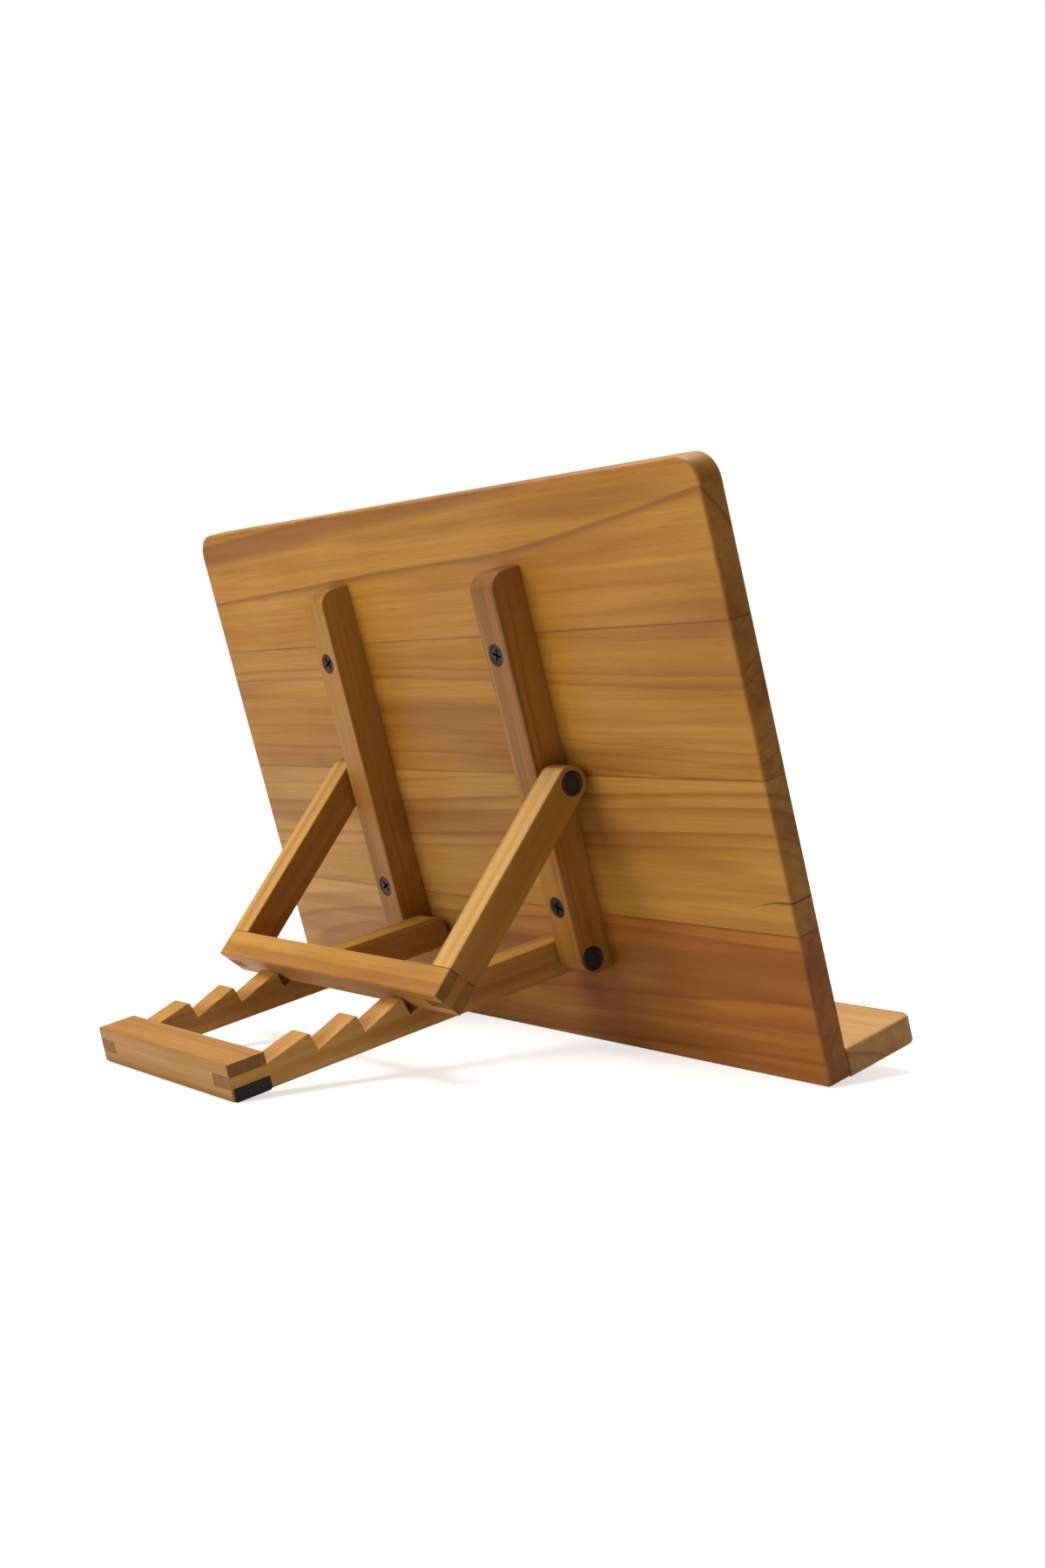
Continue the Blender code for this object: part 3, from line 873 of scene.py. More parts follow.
@dataclass(frozen=True)
class WoodFinish:
    """Oiled wood under a thin satin coat.

    Attributes:
        pale: Colour of the lightest wood.
        warm: Colour of the darker streaks.
        line: Colour of the late wood that ends each ring; also laid all along the rounded edges as
            painted shade.
        far: Pale and warm colours at the far end, where they differ.
        smoke: Colour of stained streaks.
        smoky: How much of the piece they cover, 0 to 1.
        smoke_from: Where along the grain they start.
        sap: Paler colour painted along a bar's upper face, a painted highlight for the light that
            falls on it, where it has one.
        spacing: Distance between rings.
        pith: The log's pith from the piece's centre, (across, depth).
        lean: How fast the pith moves across along the grain.
        wander: How far the rings wander.
        bold: Strength of the ring lines, 0 to 1.
        dark_ends: Share of the colour left on end grain.
        glue: Half the width between glued sides, and the strength of each line.
        split: Height, slope and length of a split at the low end.
    """

    pale: Colour = stain(190, 140, 48)
    warm: Colour = stain(162, 106, 28)
    line: Colour = stain(122, 70, 20)
    far: tuple[Colour, Colour] | None = None
    smoke: Colour = stain(100, 70, 30)
    smoky: float = 0.0
    smoke_from: float = -1.0
    sap: Colour | None = None
    spacing: float = 0.0055
    pith: tuple[float, float] = (0.05, -0.03)
    lean: float = 0.0
    wander: float = 0.012
    bold: float = 0.8
    dark_ends: float = 0.73
    glue: tuple[float, float, float] | None = None
    split: tuple[float, float, float] | None = None

    def timber(self, bench: Bench, flow: Wire, tone: Wire, seed: float) -> Wire:
        """Base colour of the wood, before its rings.

        Args:
            bench: The bench on the material.
            flow: Place in the piece, x along the grain.
            tone: 0 in warm streaks, 1 in pale wood.
            seed: Sets the piece apart.

        Returns:
            The colour.
        """
        run, _, depth = bench.parts(flow)
        colour = bench.mix(tone, self.warm, self.pale)
        if self.far:
            drift = bench.noise(flow, (9.0, 70.0, 70.0), seed + 5.7) * 0.12
            colour = bench.mix((run + drift).span(-0.03, 0.1), colour,
                               bench.mix(tone, self.far[1], self.far[0]))
        # Painted highlight: a bar's upper face is painted paler, as if lit from above.
        if self.sap:
            colour = bench.mix(depth.span(-0.0067, -0.0061, 0.95, 0.0), colour, self.sap)
        return colour

    def stained(self, bench: Bench, flow: Wire, seed: float) -> Wire:
        """Find the smoky streaks on a batten's rear face.

        Args:
            bench: The bench on the material.
            flow: Place in the piece, x along the grain.
            seed: Sets the piece apart.

        Returns:
            A mask of them.
        """
        run, _, depth = bench.parts(flow)
        low = 0.62 - 0.2 * self.smoky
        streaks = bench.noise(flow, (3.0, 150.0, 150.0), seed + 3.1, 2.0, 0.6).span(low, low + 0.1)
        length = run.span(self.smoke_from, self.smoke_from + 0.05, 0.0, 0.6)
        return streaks * length * depth.span(0.0045, 0.0068)

    def dress(self, name: str, grain: Grain, seed: float) -> bpy.types.Material:
        """Make the material of one piece.

        Args:
            name: The material's name.
            grain: How the grain lies in the piece.
            seed: Sets this piece's pattern apart.

        Returns:
            The material.
        """
        made = Blank.start(name, Specular_IOR_Level=0.26, Coat_Roughness=0.3)
        bench = made.bench
        flow = grain.mapping(bench)
        rings = bench.group(growth_rings, Grain=flow, Seed=seed, Spacing=self.spacing,
                            Across=self.pith[0], Depth=self.pith[1], Lean=self.lean,
                            Wander=self.wander)
        fine = bench.group(fibres, Grain=flow, Seed=seed)
        edge = bench.group(edges, Place=flow, Seed=seed)
        patch = bench.group(handling, Place=flow, Seed=seed)["Patch"]
        end = bench.group(end_grain, Normal=bench.take("ShaderNodeTexCoord", output="Normal"),
                          Along=grain.along)["End"]
        amber = bench.noise(flow, (6.0, 60.0, 60.0), seed + 9.2).span(0.5, 0.68)
        colour = bench.laid(
            self.timber(bench, flow, fine["Streak"] * 0.55 + fine["Cloud"] * 0.45, seed),
            (rings["Line"] * self.bold, self.line), (rings["Band"] * 0.16, self.warm),
            (amber * 0.42, self.line), (fine["Fibre"] * 0.2, self.line),
            (fine["Pore"] * 0.3, self.line))
        if self.smoky:
            colour = bench.mix(self.stained(bench, flow, seed), colour, self.smoke)
        shade = tuple(self.dark_ends * share for share in (1.0, 0.92, 0.86)) + (1.0,)
        colour = bench.mix(end, colour, bench.mix(1.0, colour, shade, "MULTIPLY"))
        if self.glue:
            half, lower, upper = self.glue
            glue = bench.group(glue_lines, Grain=flow, Half=half, Lower=lower, Upper=upper,
                               Seed=seed)["Glue"]
            colour = bench.mix(glue * 0.75, colour, stain(84, 46, 16))
        if self.split:
            height, slope, length = self.split
            split = bench.group(splits, Grain=flow, Height=height, Slope=slope, Length=length,
                                Seed=seed)["Split"]
            colour = bench.mix(split, colour, stain(60, 32, 12))
        # Painted shade: every rounded edge is darkened all along with the late-wood colour.
        colour = bench.laid(
            colour, (edge["Seam"] * 0.6, stain(58, 30, 10)), (edge["Edge"] * 0.22, self.line),
            # Pale patches on rounded edges: partly wear, partly painted highlight.
            (edge["WornAndHighlit"] * 0.3, self.pale), (patch * 0.1, self.line))
        relief = fine["Fibre"] * -0.5 + rings["Line"] * 0.5 - fine["Pore"] * 0.8
        made.feed(Base_Color=colour, Normal=made.bump(0.35, 0.00012, relief),
                  Roughness=fine["Fibre"] * 0.1 + patch * 0.08 + end * 0.12 + 0.4,
                  Coat_Weight=patch * -0.05 + 0.07)
        return made.material


@dataclass(frozen=True)
class PlainFinish:
    """Metal, plastic or rubber: one colour, broken up by dust, scuffs and a fine skin.

    Attributes:
        colour: Its colour.
        worn: Its colour where it is rubbed.
        rough: Roughness.
        metal: 1 for metal, 0 otherwise.
        skin: Depth of its surface texture.
        skin_scale: Bumps to the metre.
    """

    colour: Colour
    worn: Colour
    rough: float
    metal: float = 0.0
    skin: float = 0.00002
    skin_scale: float = 2500.0

    def dress(self, name: str) -> bpy.types.Material:
        """Make the material of one piece.

        Args:
            name: The material's name.

        Returns:
            The material.
        """
        made = Blank.start(name, Metallic=self.metal)
        bench = made.bench
        where = bench.take("ShaderNodeTexCoord", output="Object")
        touch = bench.group(handling, Place=where, Seed=self.rough)
        edge = bench.group(edges, Place=where, Seed=self.rough)["Edge"]
        bumps = bench.noise(where, (self.skin_scale,) * 3, 0.0)
        made.feed(Base_Color=bench.mix(touch["Scuff"] * 0.35 + edge * 0.5, self.colour, self.worn),
                  Roughness=touch["Patch"] * 0.14 + self.rough,
                  Normal=made.bump(0.5, self.skin, bumps))
        return made.material


BLACK_STEEL = PlainFinish(stain(44, 44, 44), stain(96, 94, 90), 0.36, 1.0, 0.00001)
BRIGHT_STEEL = PlainFinish(stain(150, 150, 148), stain(196, 196, 192), 0.3, 1.0, 0.00001)
BLACK_PLASTIC = PlainFinish(stain(14, 11, 9), stain(32, 28, 24), 0.5)
RUBBER = PlainFinish(stain(20, 19, 18), stain(40, 38, 36), 0.72, 0.0, 0.00006, 1800.0)
BOARD_WOOD = WoodFinish()
FRAME_WOOD = WoodFinish(pale=stain(200, 150, 72), warm=stain(174, 120, 44), bold=0.5,
                        spacing=0.0042, wander=0.006, dark_ends=0.5)


# --- backboard --------------------------------------------------------------------------
@dataclass
class Backboard:
    """Staves, ledge and battens.

    Attributes:
        place: The board's frame: Y out of the rear face, Z up the board.
        corner_radius: Radius of the two upper corners.
        foot_radius: Radius of the two lower corners.
        edge_radius: Radius of the board's and ledge's rounded edges.
        ledge_corner_radius: Radius of the ledge's front corners.
        batten_end_radius: Radius of the battens' rear corners.
        bar_edge_radius: Radius of the battens' rounded edges.
        screw_heights: Heights of the batten screws.
        dowels: How many dowels hold the ledge.
        stave_looks: Finish of each stave, from the lowest.
        batten_looks: Finish of each batten.
        ledge_look: Finish of the ledge.
        peg_look: Finish of the dowels.
    """

    place: Place
    corner_radius: float = 0.010
    foot_radius: float = 0.0025
    edge_radius: float = 0.0014
    ledge_corner_radius: float = 0.005
    batten_end_radius: float = 0.007
    bar_edge_radius: float = 0.0007
    screw_heights: tuple[float, float] = (0.0612, 0.159)
    dowels: int = 3
    stave_looks: tuple[WoodFinish, ...] = (
        replace(BOARD_WOOD, pale=stain(180, 118, 42), warm=stain(156, 92, 26),
                line=stain(116, 62, 14), far=(stain(190, 146, 70), stain(172, 124, 52)),
                spacing=0.007, pith=(0.004, -0.024), wander=0.022, bold=0.5, lean=0.04),
        replace(BOARD_WOOD, pale=stain(188, 140, 56), warm=stain(160, 108, 36),
                far=(stain(184, 138, 64), stain(170, 122, 50)), spacing=0.0062,
                pith=(-0.055, -0.03), lean=0.03, split=(-0.0151, -0.12, 0.03)),
        replace(BOARD_WOOD, pale=stain(180, 130, 44), warm=stain(150, 98, 24), spacing=0.0048,
                pith=(0.07, -0.02), lean=-0.02, wander=0.014),
        replace(BOARD_WOOD, spacing=0.0098, pith=(-0.04, -0.045), lean=0.05, wander=0.02))
    batten_looks: tuple[WoodFinish, WoodFinish] = (
        replace(BOARD_WOOD, smoky=1.0, smoke_from=-0.045, spacing=0.004, pith=(0.02, -0.012),
                bold=0.6, pale=stain(168, 117, 42), warm=stain(140, 90, 24)),
        replace(BOARD_WOOD, smoky=0.3, spacing=0.0036, pith=(-0.03, -0.01), bold=0.5,
                pale=stain(178, 130, 54), warm=stain(154, 104, 34)))
    ledge_look: WoodFinish = replace(
        BOARD_WOOD, pale=stain(208, 164, 100), warm=stain(190, 140, 74), spacing=0.0065,
        pith=(0.03, -0.05), bold=0.5)
    peg_look: WoodFinish = replace(
        BOARD_WOOD, pale=stain(214, 180, 128), warm=stain(196, 156, 100), bold=0.3)

    def stave(self, index: int) -> None:
        """Build one stave: its flat outline carried through the board's thickness.

        Args:
            index: Which stave, 0 for the lowest.
        """
        node = f"board_stave_{index + 1}"
        low, high = self.place.box(node)
        last = index == len(self.stave_looks) - 1
        reach = (HOLE_CLEARANCE - HAIRLINE) / 2
        bottom = low[2] - reach * (index > 0)
        top = high[2] + reach * (not last)
        foot, crown = self.foot_radius * (index == 0), self.corner_radius * last
        outline = Outline.box((low[0], bottom), (high[0], top), [foot, foot, crown, crown],
                              [float(index == 0), 1, float(last), 1])
        piece = carried(f"{node}_wood", outline, Along.Y,
                        rounded_rings(low[1], high[1], self.edge_radius), self.place)
        cutters = [self.screw_hole(side, height) for height in self.screw_heights
                   for side in Side if bottom < height < top]
        if index == 0:
            cutters += self.dowel_holes()
        if cutters:
            bored(piece, *cutters)
        middle = self.place.out(np.array([0, 0, (bottom + top) / 2]))
        grain = Grain(tuple(middle), (1.0, 0.0, 0.0), tuple(self.place.axes[:, 2]))
        look = replace(self.stave_looks[index],
                       glue=((top - bottom) / 2, float(index > 0), float(not last)))
        finished(piece, node, "backboard",
                 look.dress(f"board_wood_{index + 1}", grain, 11.3 + 7.7 * index))

    def ledge(self) -> None:
        """Build the ledge: its outline seen from above carried up through its thickness."""
        low, high = self.place.box("ledge")
        back = high[1] + HOLE_CLEARANCE - HAIRLINE
        radius = self.ledge_corner_radius
        outline = Outline.box((low[0], low[1]), (high[0], back), [radius, radius, 0, 0],
                              [1, 1, 0.15, 1])
        piece = carried("ledge_wood", outline, Along.Z,
                        rounded_rings(low[2], high[2], self.edge_radius), self.place)
        bored(piece, *self.dowel_holes())
        finished(piece, "ledge", "backboard",
                 self.ledge_look.dress("ledge_wood", self.place.grain("ledge", 0, 1), 53.0))

    def batten(self, side: Side, hinges: "Hinges") -> None:
        """Build a batten: its side view carried across its width.

        Args:
            side: Which batten.
            hinges: The hinges, whose screws pass through it.
        """
        node = f"batten_{side.word}"
        low, high = self.place.box(node)
        radius = self.batten_end_radius
        outline = Outline.box((HAIRLINE, low[2]), (high[1], high[2]), [0, radius, radius, 0],
                              [1, 1, 1, 0.2])
        piece = carried(f"{node}_wood", outline, Along.X,
                        rounded_rings(low[0], high[0], self.bar_edge_radius), self.place)
        bored(piece, *[self.screw_hole(side, height) for height in self.screw_heights],
              hinges.hole("prop", side), hinges.hole("base", side))
        look = self.batten_looks[side is Side.RIGHT]
        finished(piece, node, "backboard",
                 look.dress(f"batten_wood_{side.word}", self.place.grain(node, 2, 0),
                            71.0 + 6.1 * side.value))

    def screw_seat(self, side: Side, height: float) -> np.ndarray:
        """Find the centre of a batten screw's head on the batten's rear face."""
        low, high = self.place.box(f"batten_{side.word}")
        return self.place.out(np.array([(low[0] + high[0]) / 2, high[1], height]))

    def screw_hole(self, side: Side, height: float) -> bpy.types.Object:
        """Make the cutter of a countersunk screw hole.

        Args:
            side: Which batten it is in.
            height: Its height up the board.

        Returns:
            The cutter.
        """
        profile = [(0, 0.001), (0.0043, 0.001), (0.0043, -0.0005), (0.002, -0.0034),
                   (0.002, -0.0208), (0, -0.0208)]
        return turned("screw_hole", profile, self.screw_seat(side, height), self.place.axes[:, 1])

    def dowel_holes(self) -> list[bpy.types.Object]:
        """Make the cutters of the dowels' holes, a clearance wider and longer than each."""
        holes = []
        for number in range(1, self.dowels + 1):
            low, high = self.place.box(f"ledge_dowel_{number}")
            radius = (high[0] - low[0]) / 2 + HOLE_CLEARANCE
            length = high[1] - low[1] + 2 * HOLE_CLEARANCE
            mouth = (low + high) / 2
            mouth[1] = low[1] - HOLE_CLEARANCE
            holes.append(turned("dowel_hole", [(0, 0), (radius, 0), (radius, length), (0, length)],
                                self.place.out(mouth), self.place.axes[:, 1]))
        return holes

    def screw(self, side: Side, level: str, height: float) -> None:
        """Build a countersunk screw with a cross recess that draws in as it sinks.

        Args:
            side: Which batten it is in.
            level: Its place in the batten, as its solid is named.
            height: Its height up the board.
        """
        node = f"batten_screw_{side.word}_{level}"
        profile = [(0, -0.0003), (0.0022, -0.00032), (0.0037, -0.0004), (0.00395, -0.0005),
                   (0.004, -0.00065), (0.00395, -0.0008), (0.0018, -0.0032), (0.0017, -0.0036),
                   (0.0017, -0.0185), (0.0004, -0.0205), (0, -0.0205)]
        seat = self.screw_seat(side, height)
        piece = turned(f"{node}_steel", profile, seat, self.place.axes[:, 1], 64)
        arm, half = 0.0025, 0.00055
        spin = radians(20 if side is Side.LEFT else 62)
        corners = []
        for quarter in range(4):
            angle = spin + quarter * pi / 2
            turn = np.array([[cos(angle), -sin(angle)], [sin(angle), cos(angle)]])
            corners += [tuple(turn @ corner)
                        for corner in ((arm, -half), (arm, half), (half, half))]
        outline = Outline(corners, [0.0] * 12, [1.0] * 12)
        heights, insets = [-0.0022, -0.0019, 0.0002], [0.0004, 0.00032, 0.0]
        rings = (np.array(heights), np.array(insets), np.zeros(3))
        recess = carried("recess", outline, Along.Y, rings, Place(tuple(seat), self.place.turn))
        bored(piece, recess)
        finished(piece, node, "backboard", BLACK_STEEL.dress(f"black_steel_{node}"))

    def build(self, hinges: "Hinges") -> None:
        """Build every piece of the backboard.

        Args:
            hinges: The hinges that its battens hold.
        """
        for index in range(len(self.stave_looks)):
            self.stave(index)
        self.ledge()
        for side in Side:
            self.batten(side, hinges)
            for level, height in zip(("lower", "upper"), self.screw_heights):
                self.screw(side, level, height)
        for number in range(1, self.dowels + 1):
            node = f"ledge_dowel_{number}"
            dress_solid(node, self.peg_look.dress(f"{node}_wood", self.place.grain(node, 1, 0),
                                                  90.0 + number))


# --- hinges -----------------------------------------------------------------------------
@dataclass
class Hinges:
    """Screws, caps and washers of both hinge axes.

    Attributes:
        place: The board's frame.
        shank_radius: Radius of the pivot screws.
        seat_depth: Depth of the counterbore that takes head and cap.
        length: Length of a pivot screw.
        cap_radius: Radius of a cap.
        rim: Radius of a cap's rounded rim.
    """

    place: Place
    shank_radius: float = 0.0018
    seat_depth: float = 0.0041
    length: float = 0.0245
    cap_radius: float = 0.0044
    rim: float = 0.0006

    def mouth(self, hinge: str, side: Side) -> np.ndarray:
        """Find the centre of a hinge on the face that its cap sits in.

        Args:
            hinge: "prop" or "base".
            side: Which side of the stand.

        Returns:
            The point, in the stand's frame.
        """
        low, high = self.place.box(f"{hinge}_pivot_screw_{side.word}")
        outer = {"prop": "prop_arm", "base": "batten"}[hinge]
        face = self.place.box(f"{outer}_{side.word}")
        across = face[side is Side.RIGHT][0]
        return self.place.out(np.array([across, (low[1] + high[1]) / 2, (low[2] + high[2]) / 2]))

    def hole(self, hinge: str, side: Side) -> bpy.types.Object:
        """Make the cutter of a pivot screw's hole and counterbore.

        Args:
            hinge: "prop" or "base".
            side: Which side of the stand.

        Returns:
            The cutter.
        """
        shank, mouth = self.shank_radius + HOLE_CLEARANCE, self.cap_radius + HOLE_CLEARANCE
        seat, end = -self.seat_depth - HOLE_CLEARANCE, -self.length - HOLE_CLEARANCE
        profile = [(0, 0.001), (mouth, 0.001), (mouth, seat), (shank, seat), (shank, end), (0, end)]
        return turned("pivot_hole", profile, self.mouth(hinge, side), side.outward)

    def cap(self, hinge: str, side: Side) -> None:
        """Build a cap: a low dome with a raised rim, turned about the hinge.

        Args:
            hinge: "prop" or "base".
            side: Which side of the stand.
        """
        node = f"{hinge}_pivot_cap_{side.word}"
        rim = [(self.cap_radius - self.rim + self.rim * sin(angle), -0.0001 + self.rim * cos(angle))
               for angle in np.linspace(0, pi / 2, 6)]
        profile = [(0, 0.0003), (0.0014, 0.00027), (0.0026, 0.00016), (0.0032, 0.00012),
                   (0.0034, 0.0003), *rim, (self.cap_radius, -0.0018), (0, -0.0018)]
        piece = turned(f"{node}_plastic", profile, self.mouth(hinge, side), side.outward, 64)
        body = "prop_frame" if hinge == "prop" else "backboard"
        finished(piece, node, body, BLACK_PLASTIC.dress(f"black_plastic_{node}"))

    def build(self) -> None:
        """Build the caps and dress the screws and washers."""
        steels = {"screw": BLACK_STEEL.dress("black_steel"),
                  "washer": BRIGHT_STEEL.dress("bright_steel")}
        for hinge in ("prop", "base"):
            for side in Side:
                self.cap(hinge, side)
                for kind, steel in steels.items():
                    dress_solid(f"{hinge}_pivot_{kind}_{side.word}", steel)


# --- swinging frames --------------------------------------------------------------------
@dataclass
class BarFrame:
    """What the prop and the base share: two arms and a crossbar, finger jointed.

    Attributes:
        place: The frame's own axes: Y along the arms, Z out of their upper side.
        hinge: Its name.
        thickness: The crossbar's size along the arms.
        looks: Finish of the left arm, the right arm and the crossbar.
        seeds: What sets the pattern of each apart.
        edge_radius: Radius of the rounded edges.
        tight: Share of the rounding left on the fingers of a joint.
    """

    place: Place
    hinge: str = ""
    thickness: float = 0.0
    looks: tuple[WoodFinish, ...] = ()
    seeds: tuple[float, ...] = ()
    edge_radius: float = 0.0006
    tight: float = 0.22

    def upper_side(self, shoulder: float, half: float) -> tuple[list, list, list]:
        """Trace an arm's upper side, from the crossbar back.

        Args:
            shoulder: Where the crossbar starts.
            half: Half the arm's depth.

        Returns:
            Corners, radii and ease.
        """
        return [(shoulder, half)], [0], [1]

    def arm_outline(self, length: float, half: float) -> Outline:
        """Trace an arm's side view: lower side, middle finger, upper side and round end.

        Args:
            length: End of the finger, from the pivot.
            half: Half the arm's depth.

        Returns:
            The outline.
        """
        shoulder, finger = length - self.thickness - HAIRLINE, half / 3 - HAIRLINE
        tight = self.tight
        corners, radii, ease = self.upper_side(shoulder, half)
        return Outline([(-half, -half), (shoulder, -half), (shoulder, -finger), (length, -finger),
                        (length, finger), (shoulder, finger), *corners, (-half, half)],
                       [half, 0, 0, 0, 0, 0, *radii, half],
                       [1, tight, tight, 1, tight, tight, *ease, 1])

    def crossbar_cutters(self) -> list[bpy.types.Object]:
        """Cutters that the crossbar is bored with."""
        return []

    def arm(self, side: Side, hinges: Hinges) -> None:
        """Build an arm: its side view carried across its width.

        Args:
            side: Which arm.
            hinges: The hinges, whose screws pass through it.
        """
        node = f"{self.hinge}_arm_{side.word}"
        low, high = self.place.box(node)
        piece = carried(f"{node}_wood", self.arm_outline(high[1], high[2]), Along.X,
                        rounded_rings(low[0], high[0], self.edge_radius), self.place)
        bored(piece, hinges.hole(self.hinge, side))
        number = int(side is Side.RIGHT)
        finished(piece, node, f"{self.hinge}_frame", self.looks[number].dress(
            f"{self.hinge}_wood_{side.word}", self.place.grain(node, 1, 0), self.seeds[number]))

    def crossbar(self) -> None:
        """Build the crossbar: its end-on view carried along the arms."""
        node = f"{self.hinge}_crossbar"
        low, high = self.place.box(node)
        outer, half = high[0], (high[2] - low[2]) / 2
        slot = np.abs(self.place.box(f"{self.hinge}_arm_right"))[:, 0].min() - HAIRLINE
        finger, tight = half / 3, self.tight
        right = [(outer, -half), (outer, -finger), (slot, -finger), (slot, finger),
                 (outer, finger), (outer, half)]
        outline = Outline(right + [(-x, z) for x, z in reversed(right)],
                          [0.0007, 0, 0, 0, 0, 0.0007] * 2, [1, tight, tight, tight, 1, 1] * 2)
        rings = rounded_rings(high[1] - self.thickness, high[1], self.edge_radius)
        piece = carried(f"{node}_wood", outline, Along.Y, rings, self.place)
        cutters = self.crossbar_cutters()
        if cutters:
            bored(piece, *cutters)
        finished(piece, node, f"{self.hinge}_frame", self.looks[2].dress(
            f"{self.hinge}_wood_crossbar", self.place.grain(node, 0, 1), self.seeds[2]))

    def build(self, hinges: Hinges) -> None:
        """Build both arms and the crossbar.

        Args:
            hinges: The hinges that its arms turn on.
        """
        for side in Side:
            self.arm(side, hinges)
        self.crossbar()


@dataclass
class PropFrame(BarFrame):
    """The prop: plain arms outside the battens."""

    hinge: str = "prop"
    thickness: float = 0.0116
    # The arms' paler upper faces are a painted highlight.
    looks: tuple[WoodFinish, ...] = (
        replace(FRAME_WOOD, pith=(0.02, -0.016), spacing=0.0046, bold=0.4,
                pale=stain(170, 119, 42), warm=stain(144, 94, 26), sap=stain(216, 170, 98)),
        replace(FRAME_WOOD, pith=(-0.014, 0.02), spacing=0.005, bold=0.4,
                pale=stain(178, 126, 48), warm=stain(150, 99, 30), sap=stain(208, 160, 86)),
        replace(FRAME_WOOD, pith=(0.018, 0.02), warm=stain(168, 112, 42), spacing=0.005))
    seeds: tuple[float, ...] = (121.7, 140.3, 163.0)


@dataclass
class BaseFrame(BarFrame):
    """The base: notched arms between the battens, and a crossbar on rubber feet.

    Attributes:
        teeth: Teeth on each arm.
        first: Pivot to the steep face of the farthest tooth.
        pitch: Distance between teeth.
        flat: Flat on top of each tooth.
        notch: Depth of a notch.
        undercut: How far a steep face leans over its notch.
        overcut: How far a foot's cutter stands out of the bar.
        bar_end: A distance past the bar's end.
    """

    hinge: str = "base"
    thickness: float = 0.0152
    looks: tuple[WoodFinish, ...] = (
        replace(FRAME_WOOD, pith=(0.03, 0.012), spacing=0.004, pale=stain(200, 152, 78)),
        replace(FRAME_WOOD, pith=(-0.02, 0.022), spacing=0.0048),
        replace(FRAME_WOOD, pale=stain(180, 134, 60), warm=stain(154, 106, 36),
                pith=(0.024, 0.016), spacing=0.0052))
    seeds: tuple[float, ...] = (188.1, 205.9, 229.0)
    teeth: int = 3
    first: float = 0.1143
    pitch: float = 0.0196
    flat: float = 0.0012
    notch: float = 0.0064
    undercut: float = 0.0020
    overcut: float = 0.002
    bar_end: float = 0.06

    def upper_side(self, shoulder: float, half: float) -> tuple[list, list, list]:
        """Trace teeth cut as ramps that end in steep faces, from the crossbar back.

        Args:
            shoulder: Where the crossbar starts; the farthest ramp runs up to it.
            half: Half the arm's depth.

        Returns:
            Corners, radii and ease.
        """
        corners = []
        for index in range(self.teeth):
            steep = self.first - index * self.pitch
            corners += [(steep + self.flat, half), (steep, half),
                        (steep - self.undercut, half - self.notch)]
        corners.append((self.first - self.teeth * self.pitch + self.flat, half))
        return (corners, [0.0007, 0.0006, 0.0003] * self.teeth + [0.002],
                [0.7] * 3 * self.teeth + [1])

    def crossbar_cutters(self) -> list[bpy.types.Object]:
        """Cutters of the feet's pockets, each open below, at the bar's end and inwards.

        Returns:
            One for each foot.
        """
        cutters = []
        room = HAIRLINE + HOLE_CLEARANCE / 3
        for side in Side:
            low, high = self.place.box(f"foot_{side.word}")
            inner = min(abs(low[0]), abs(high[0])) - room
            left, right = sorted((side.value * inner, side.value * self.bar_end))
            outline = Outline.box((left, low[2] - self.overcut), (right, high[2] + room),
                                  [0] * 4, [1] * 4)
            rings = (np.array([low[1] - self.overcut, high[1] + room]), np.zeros(2), np.zeros(2))
            cutters.append(carried("foot_pocket", outline, Along.Y, rings, self.place))
        return cutters

    def foot(self, side: Side) -> None:
        """Build a rubber foot with softly rounded edges.

        Args:
            side: Which end of the crossbar it is under.
        """
        node = f"foot_{side.word}"
        low, high = self.place.box(node)
        outline = Outline.box((low[0], low[2]), (high[0], high[2]), [0.0006] * 4, [1] * 4)
        piece = carried(f"{node}_rubber", outline, Along.Y,
                        rounded_rings(low[1], high[1], 0.0005), self.place)
        finished(piece, node, "base_frame", RUBBER.dress(f"rubber_{side.word}"))

    def build(self, hinges: Hinges) -> None:
        """Build both arms, the crossbar and the feet.

        Args:
            hinges: The hinges that its arms turn on.
        """
        super().build(hinges)
        for side in Side:
            self.foot(side)


# --- studio -----------------------------------------------------------------------------
@dataclass(frozen=True)
class Lamp:
    """A square soft light that faces the stand.

    Attributes:
        where: Its place.
        size: Its side.
        power: Its power in watts.
        tint: Its colour.
    """

    where: Point
    size: float
    power: float
    tint: Point = (1.0, 0.98, 0.96)


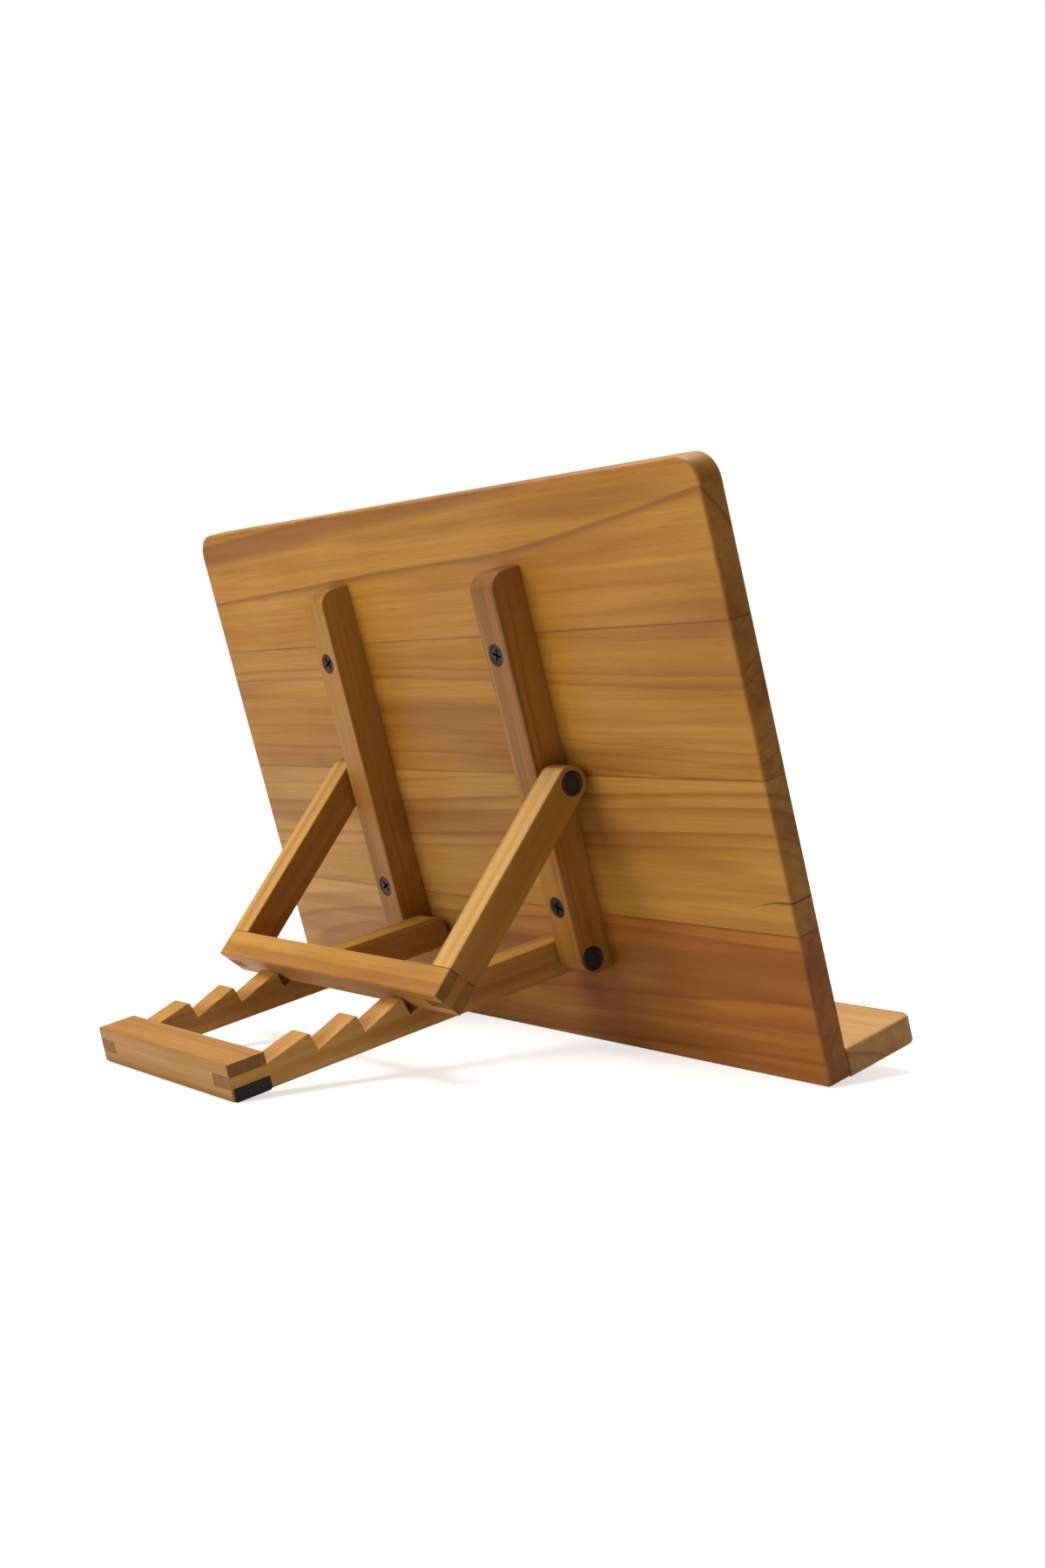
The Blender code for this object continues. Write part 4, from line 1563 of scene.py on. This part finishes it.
@dataclass
class Studio:
    """A pale floor, soft lights and the camera.

    Attributes:
        camera_place: Where the camera stands.
        camera_turn: Its turn about X, Y and Z in degrees.
        lens: Its focal length on a 36 mm long side.
        ambient: Strength of the light from all round.
        aim: Height on the stand that the lights face.
        reach: How far the floor reaches each way.
    """

    camera_place: Point = (-0.6584, 0.4082, 0.1409)
    camera_turn: Point = (87.02, 1.805, 234.4)
    lens: float = 45.67
    ambient: float = 0.185
    aim: float = 0.09
    reach: float = 9.0

    def light(self, name: str, lamp: Lamp) -> None:
        """Hang a lamp.

        Args:
            name: Its name.
            lamp: The lamp.
        """
        data = bpy.data.lights.new(name, "AREA")
        data.shape, data.size, data.energy, data.color = "SQUARE", lamp.size, lamp.power, lamp.tint
        holder = bpy.data.objects.new(name, data)
        holder.location = lamp.where
        toward = Vector((0, 0, self.aim)) - holder.location
        holder.rotation_euler = toward.to_track_quat("-Z", "Y").to_euler()
        bpy.context.scene.collection.objects.link(holder)

    def surroundings(self) -> None:
        """White all round; only part of it lights the stand, so shade stays deep."""
        world = bpy.data.worlds.new("surroundings")
        world.use_nodes = True
        bpy.context.scene.world = world
        bench, background = Bench(world.node_tree), world.node_tree.nodes["Background"]
        seen = bench.take("ShaderNodeLightPath", output="Is Camera Ray")
        bench.fill(background.inputs["Color"], (1, 1, 1, 1))
        bench.fill(background.inputs["Strength"], seen.span(0.0, 1.0, self.ambient, 1.0))

    def floor(self) -> None:
        """Wide pale floor under the stand, lit to near white and brighter far away."""
        mesh, far = bpy.data.meshes.new("floor"), self.reach
        mesh.from_pydata([(-far, -far, 0), (far, -far, 0), (far, far, 0), (-far, far, 0)], [],
                         [(0, 1, 2, 3)])
        floor = bpy.data.objects.new("floor", mesh)
        bpy.context.scene.collection.objects.link(floor)
        made = Blank.start("pale_floor", Roughness=0.8, Specular_IOR_Level=0.1,
                           Base_Color=(0.75, 0.75, 0.75, 1), Emission_Color=(1, 1, 1, 1))
        bench = made.bench
        away = bench.take("ShaderNodeVectorMath", bench.take("ShaderNodeTexCoord", output="Object"),
                          output="Value", operation="LENGTH")
        seen = bench.take("ShaderNodeLightPath", output="Is Camera Ray")
        made.feed(Emission_Strength=seen * away.span(0.3, 2.0, 0.66, 1.0))
        mesh.materials.append(made.material)

    def camera(self) -> None:
        """Stand the camera up and look through it."""
        lens = bpy.data.cameras.new("camera")
        lens.lens, lens.sensor_width, lens.clip_start = self.lens, 36.0, 0.01
        holder = bpy.data.objects.new("camera", lens)
        holder.location = self.camera_place
        holder.rotation_euler = tuple(radians(angle) for angle in self.camera_turn)
        bpy.context.scene.collection.objects.link(holder)
        bpy.context.scene.camera = holder

    def build(self) -> None:
        """Set up everything round the stand."""
        bpy.context.scene.view_settings.view_transform = "Standard"
        self.surroundings()
        self.floor()
        self.light("key", Lamp((0.45, 2.2, 0.7), 1.4, 31.0, (1.0, 0.97, 0.93)))
        self.light("top", Lamp((0.35, -0.05, 1.45), 1.1, 32.0))
        self.light("front", Lamp((0.6, -1.9, 0.9), 1.2, 10.0))
        self.camera()


# --- assembly ---------------------------------------------------------------------------
@dataclass(frozen=True)
class Stance:
    """How the stand is set up, as its solids are.

    Attributes:
        lean: Lean of the board back from upright, in degrees.
        pivot_out: Distance of the prop's axis from the board's rear face.
        pivot_height: Height of the prop's axis up the board.
        prop_fall: Fall of the prop's arms below level, in degrees.
        base_fall: Fall of the base's arms below level, in degrees.
    """

    lean: float = 14.3
    pivot_out: float = 0.0087
    pivot_height: float = 0.1088
    prop_fall: float = 52.5311
    base_fall: float = 11.3167

    def board(self, prop_hinge: Point) -> Place:
        """Work the board's frame out from a point on the prop's axis."""
        level = Place(ZERO, -radians(self.lean))
        offset = level.out(np.array([0.0, self.pivot_out, self.pivot_height]))
        return Place(tuple(np.array(prop_hinge) - offset), level.turn)


def main() -> None:
    """Build the stand, then the studio round it."""
    logging.basicConfig(level=logging.INFO, format="%(message)s")
    hinge = {joint["name"]: tuple(joint["pos_m"]) for joint in frame["joints"]}
    stance = Stance()
    board = stance.board(hinge["prop_swing"])
    hinges = Hinges(board)
    Backboard(board).build(hinges)
    hinges.build()
    PropFrame(Place(hinge["prop_swing"], -radians(stance.prop_fall))).build(hinges)
    BaseFrame(Place(hinge["base_swing"], -radians(stance.base_fall))).build(hinges)
    Studio().build()


if __name__ == "__main__":
    main()
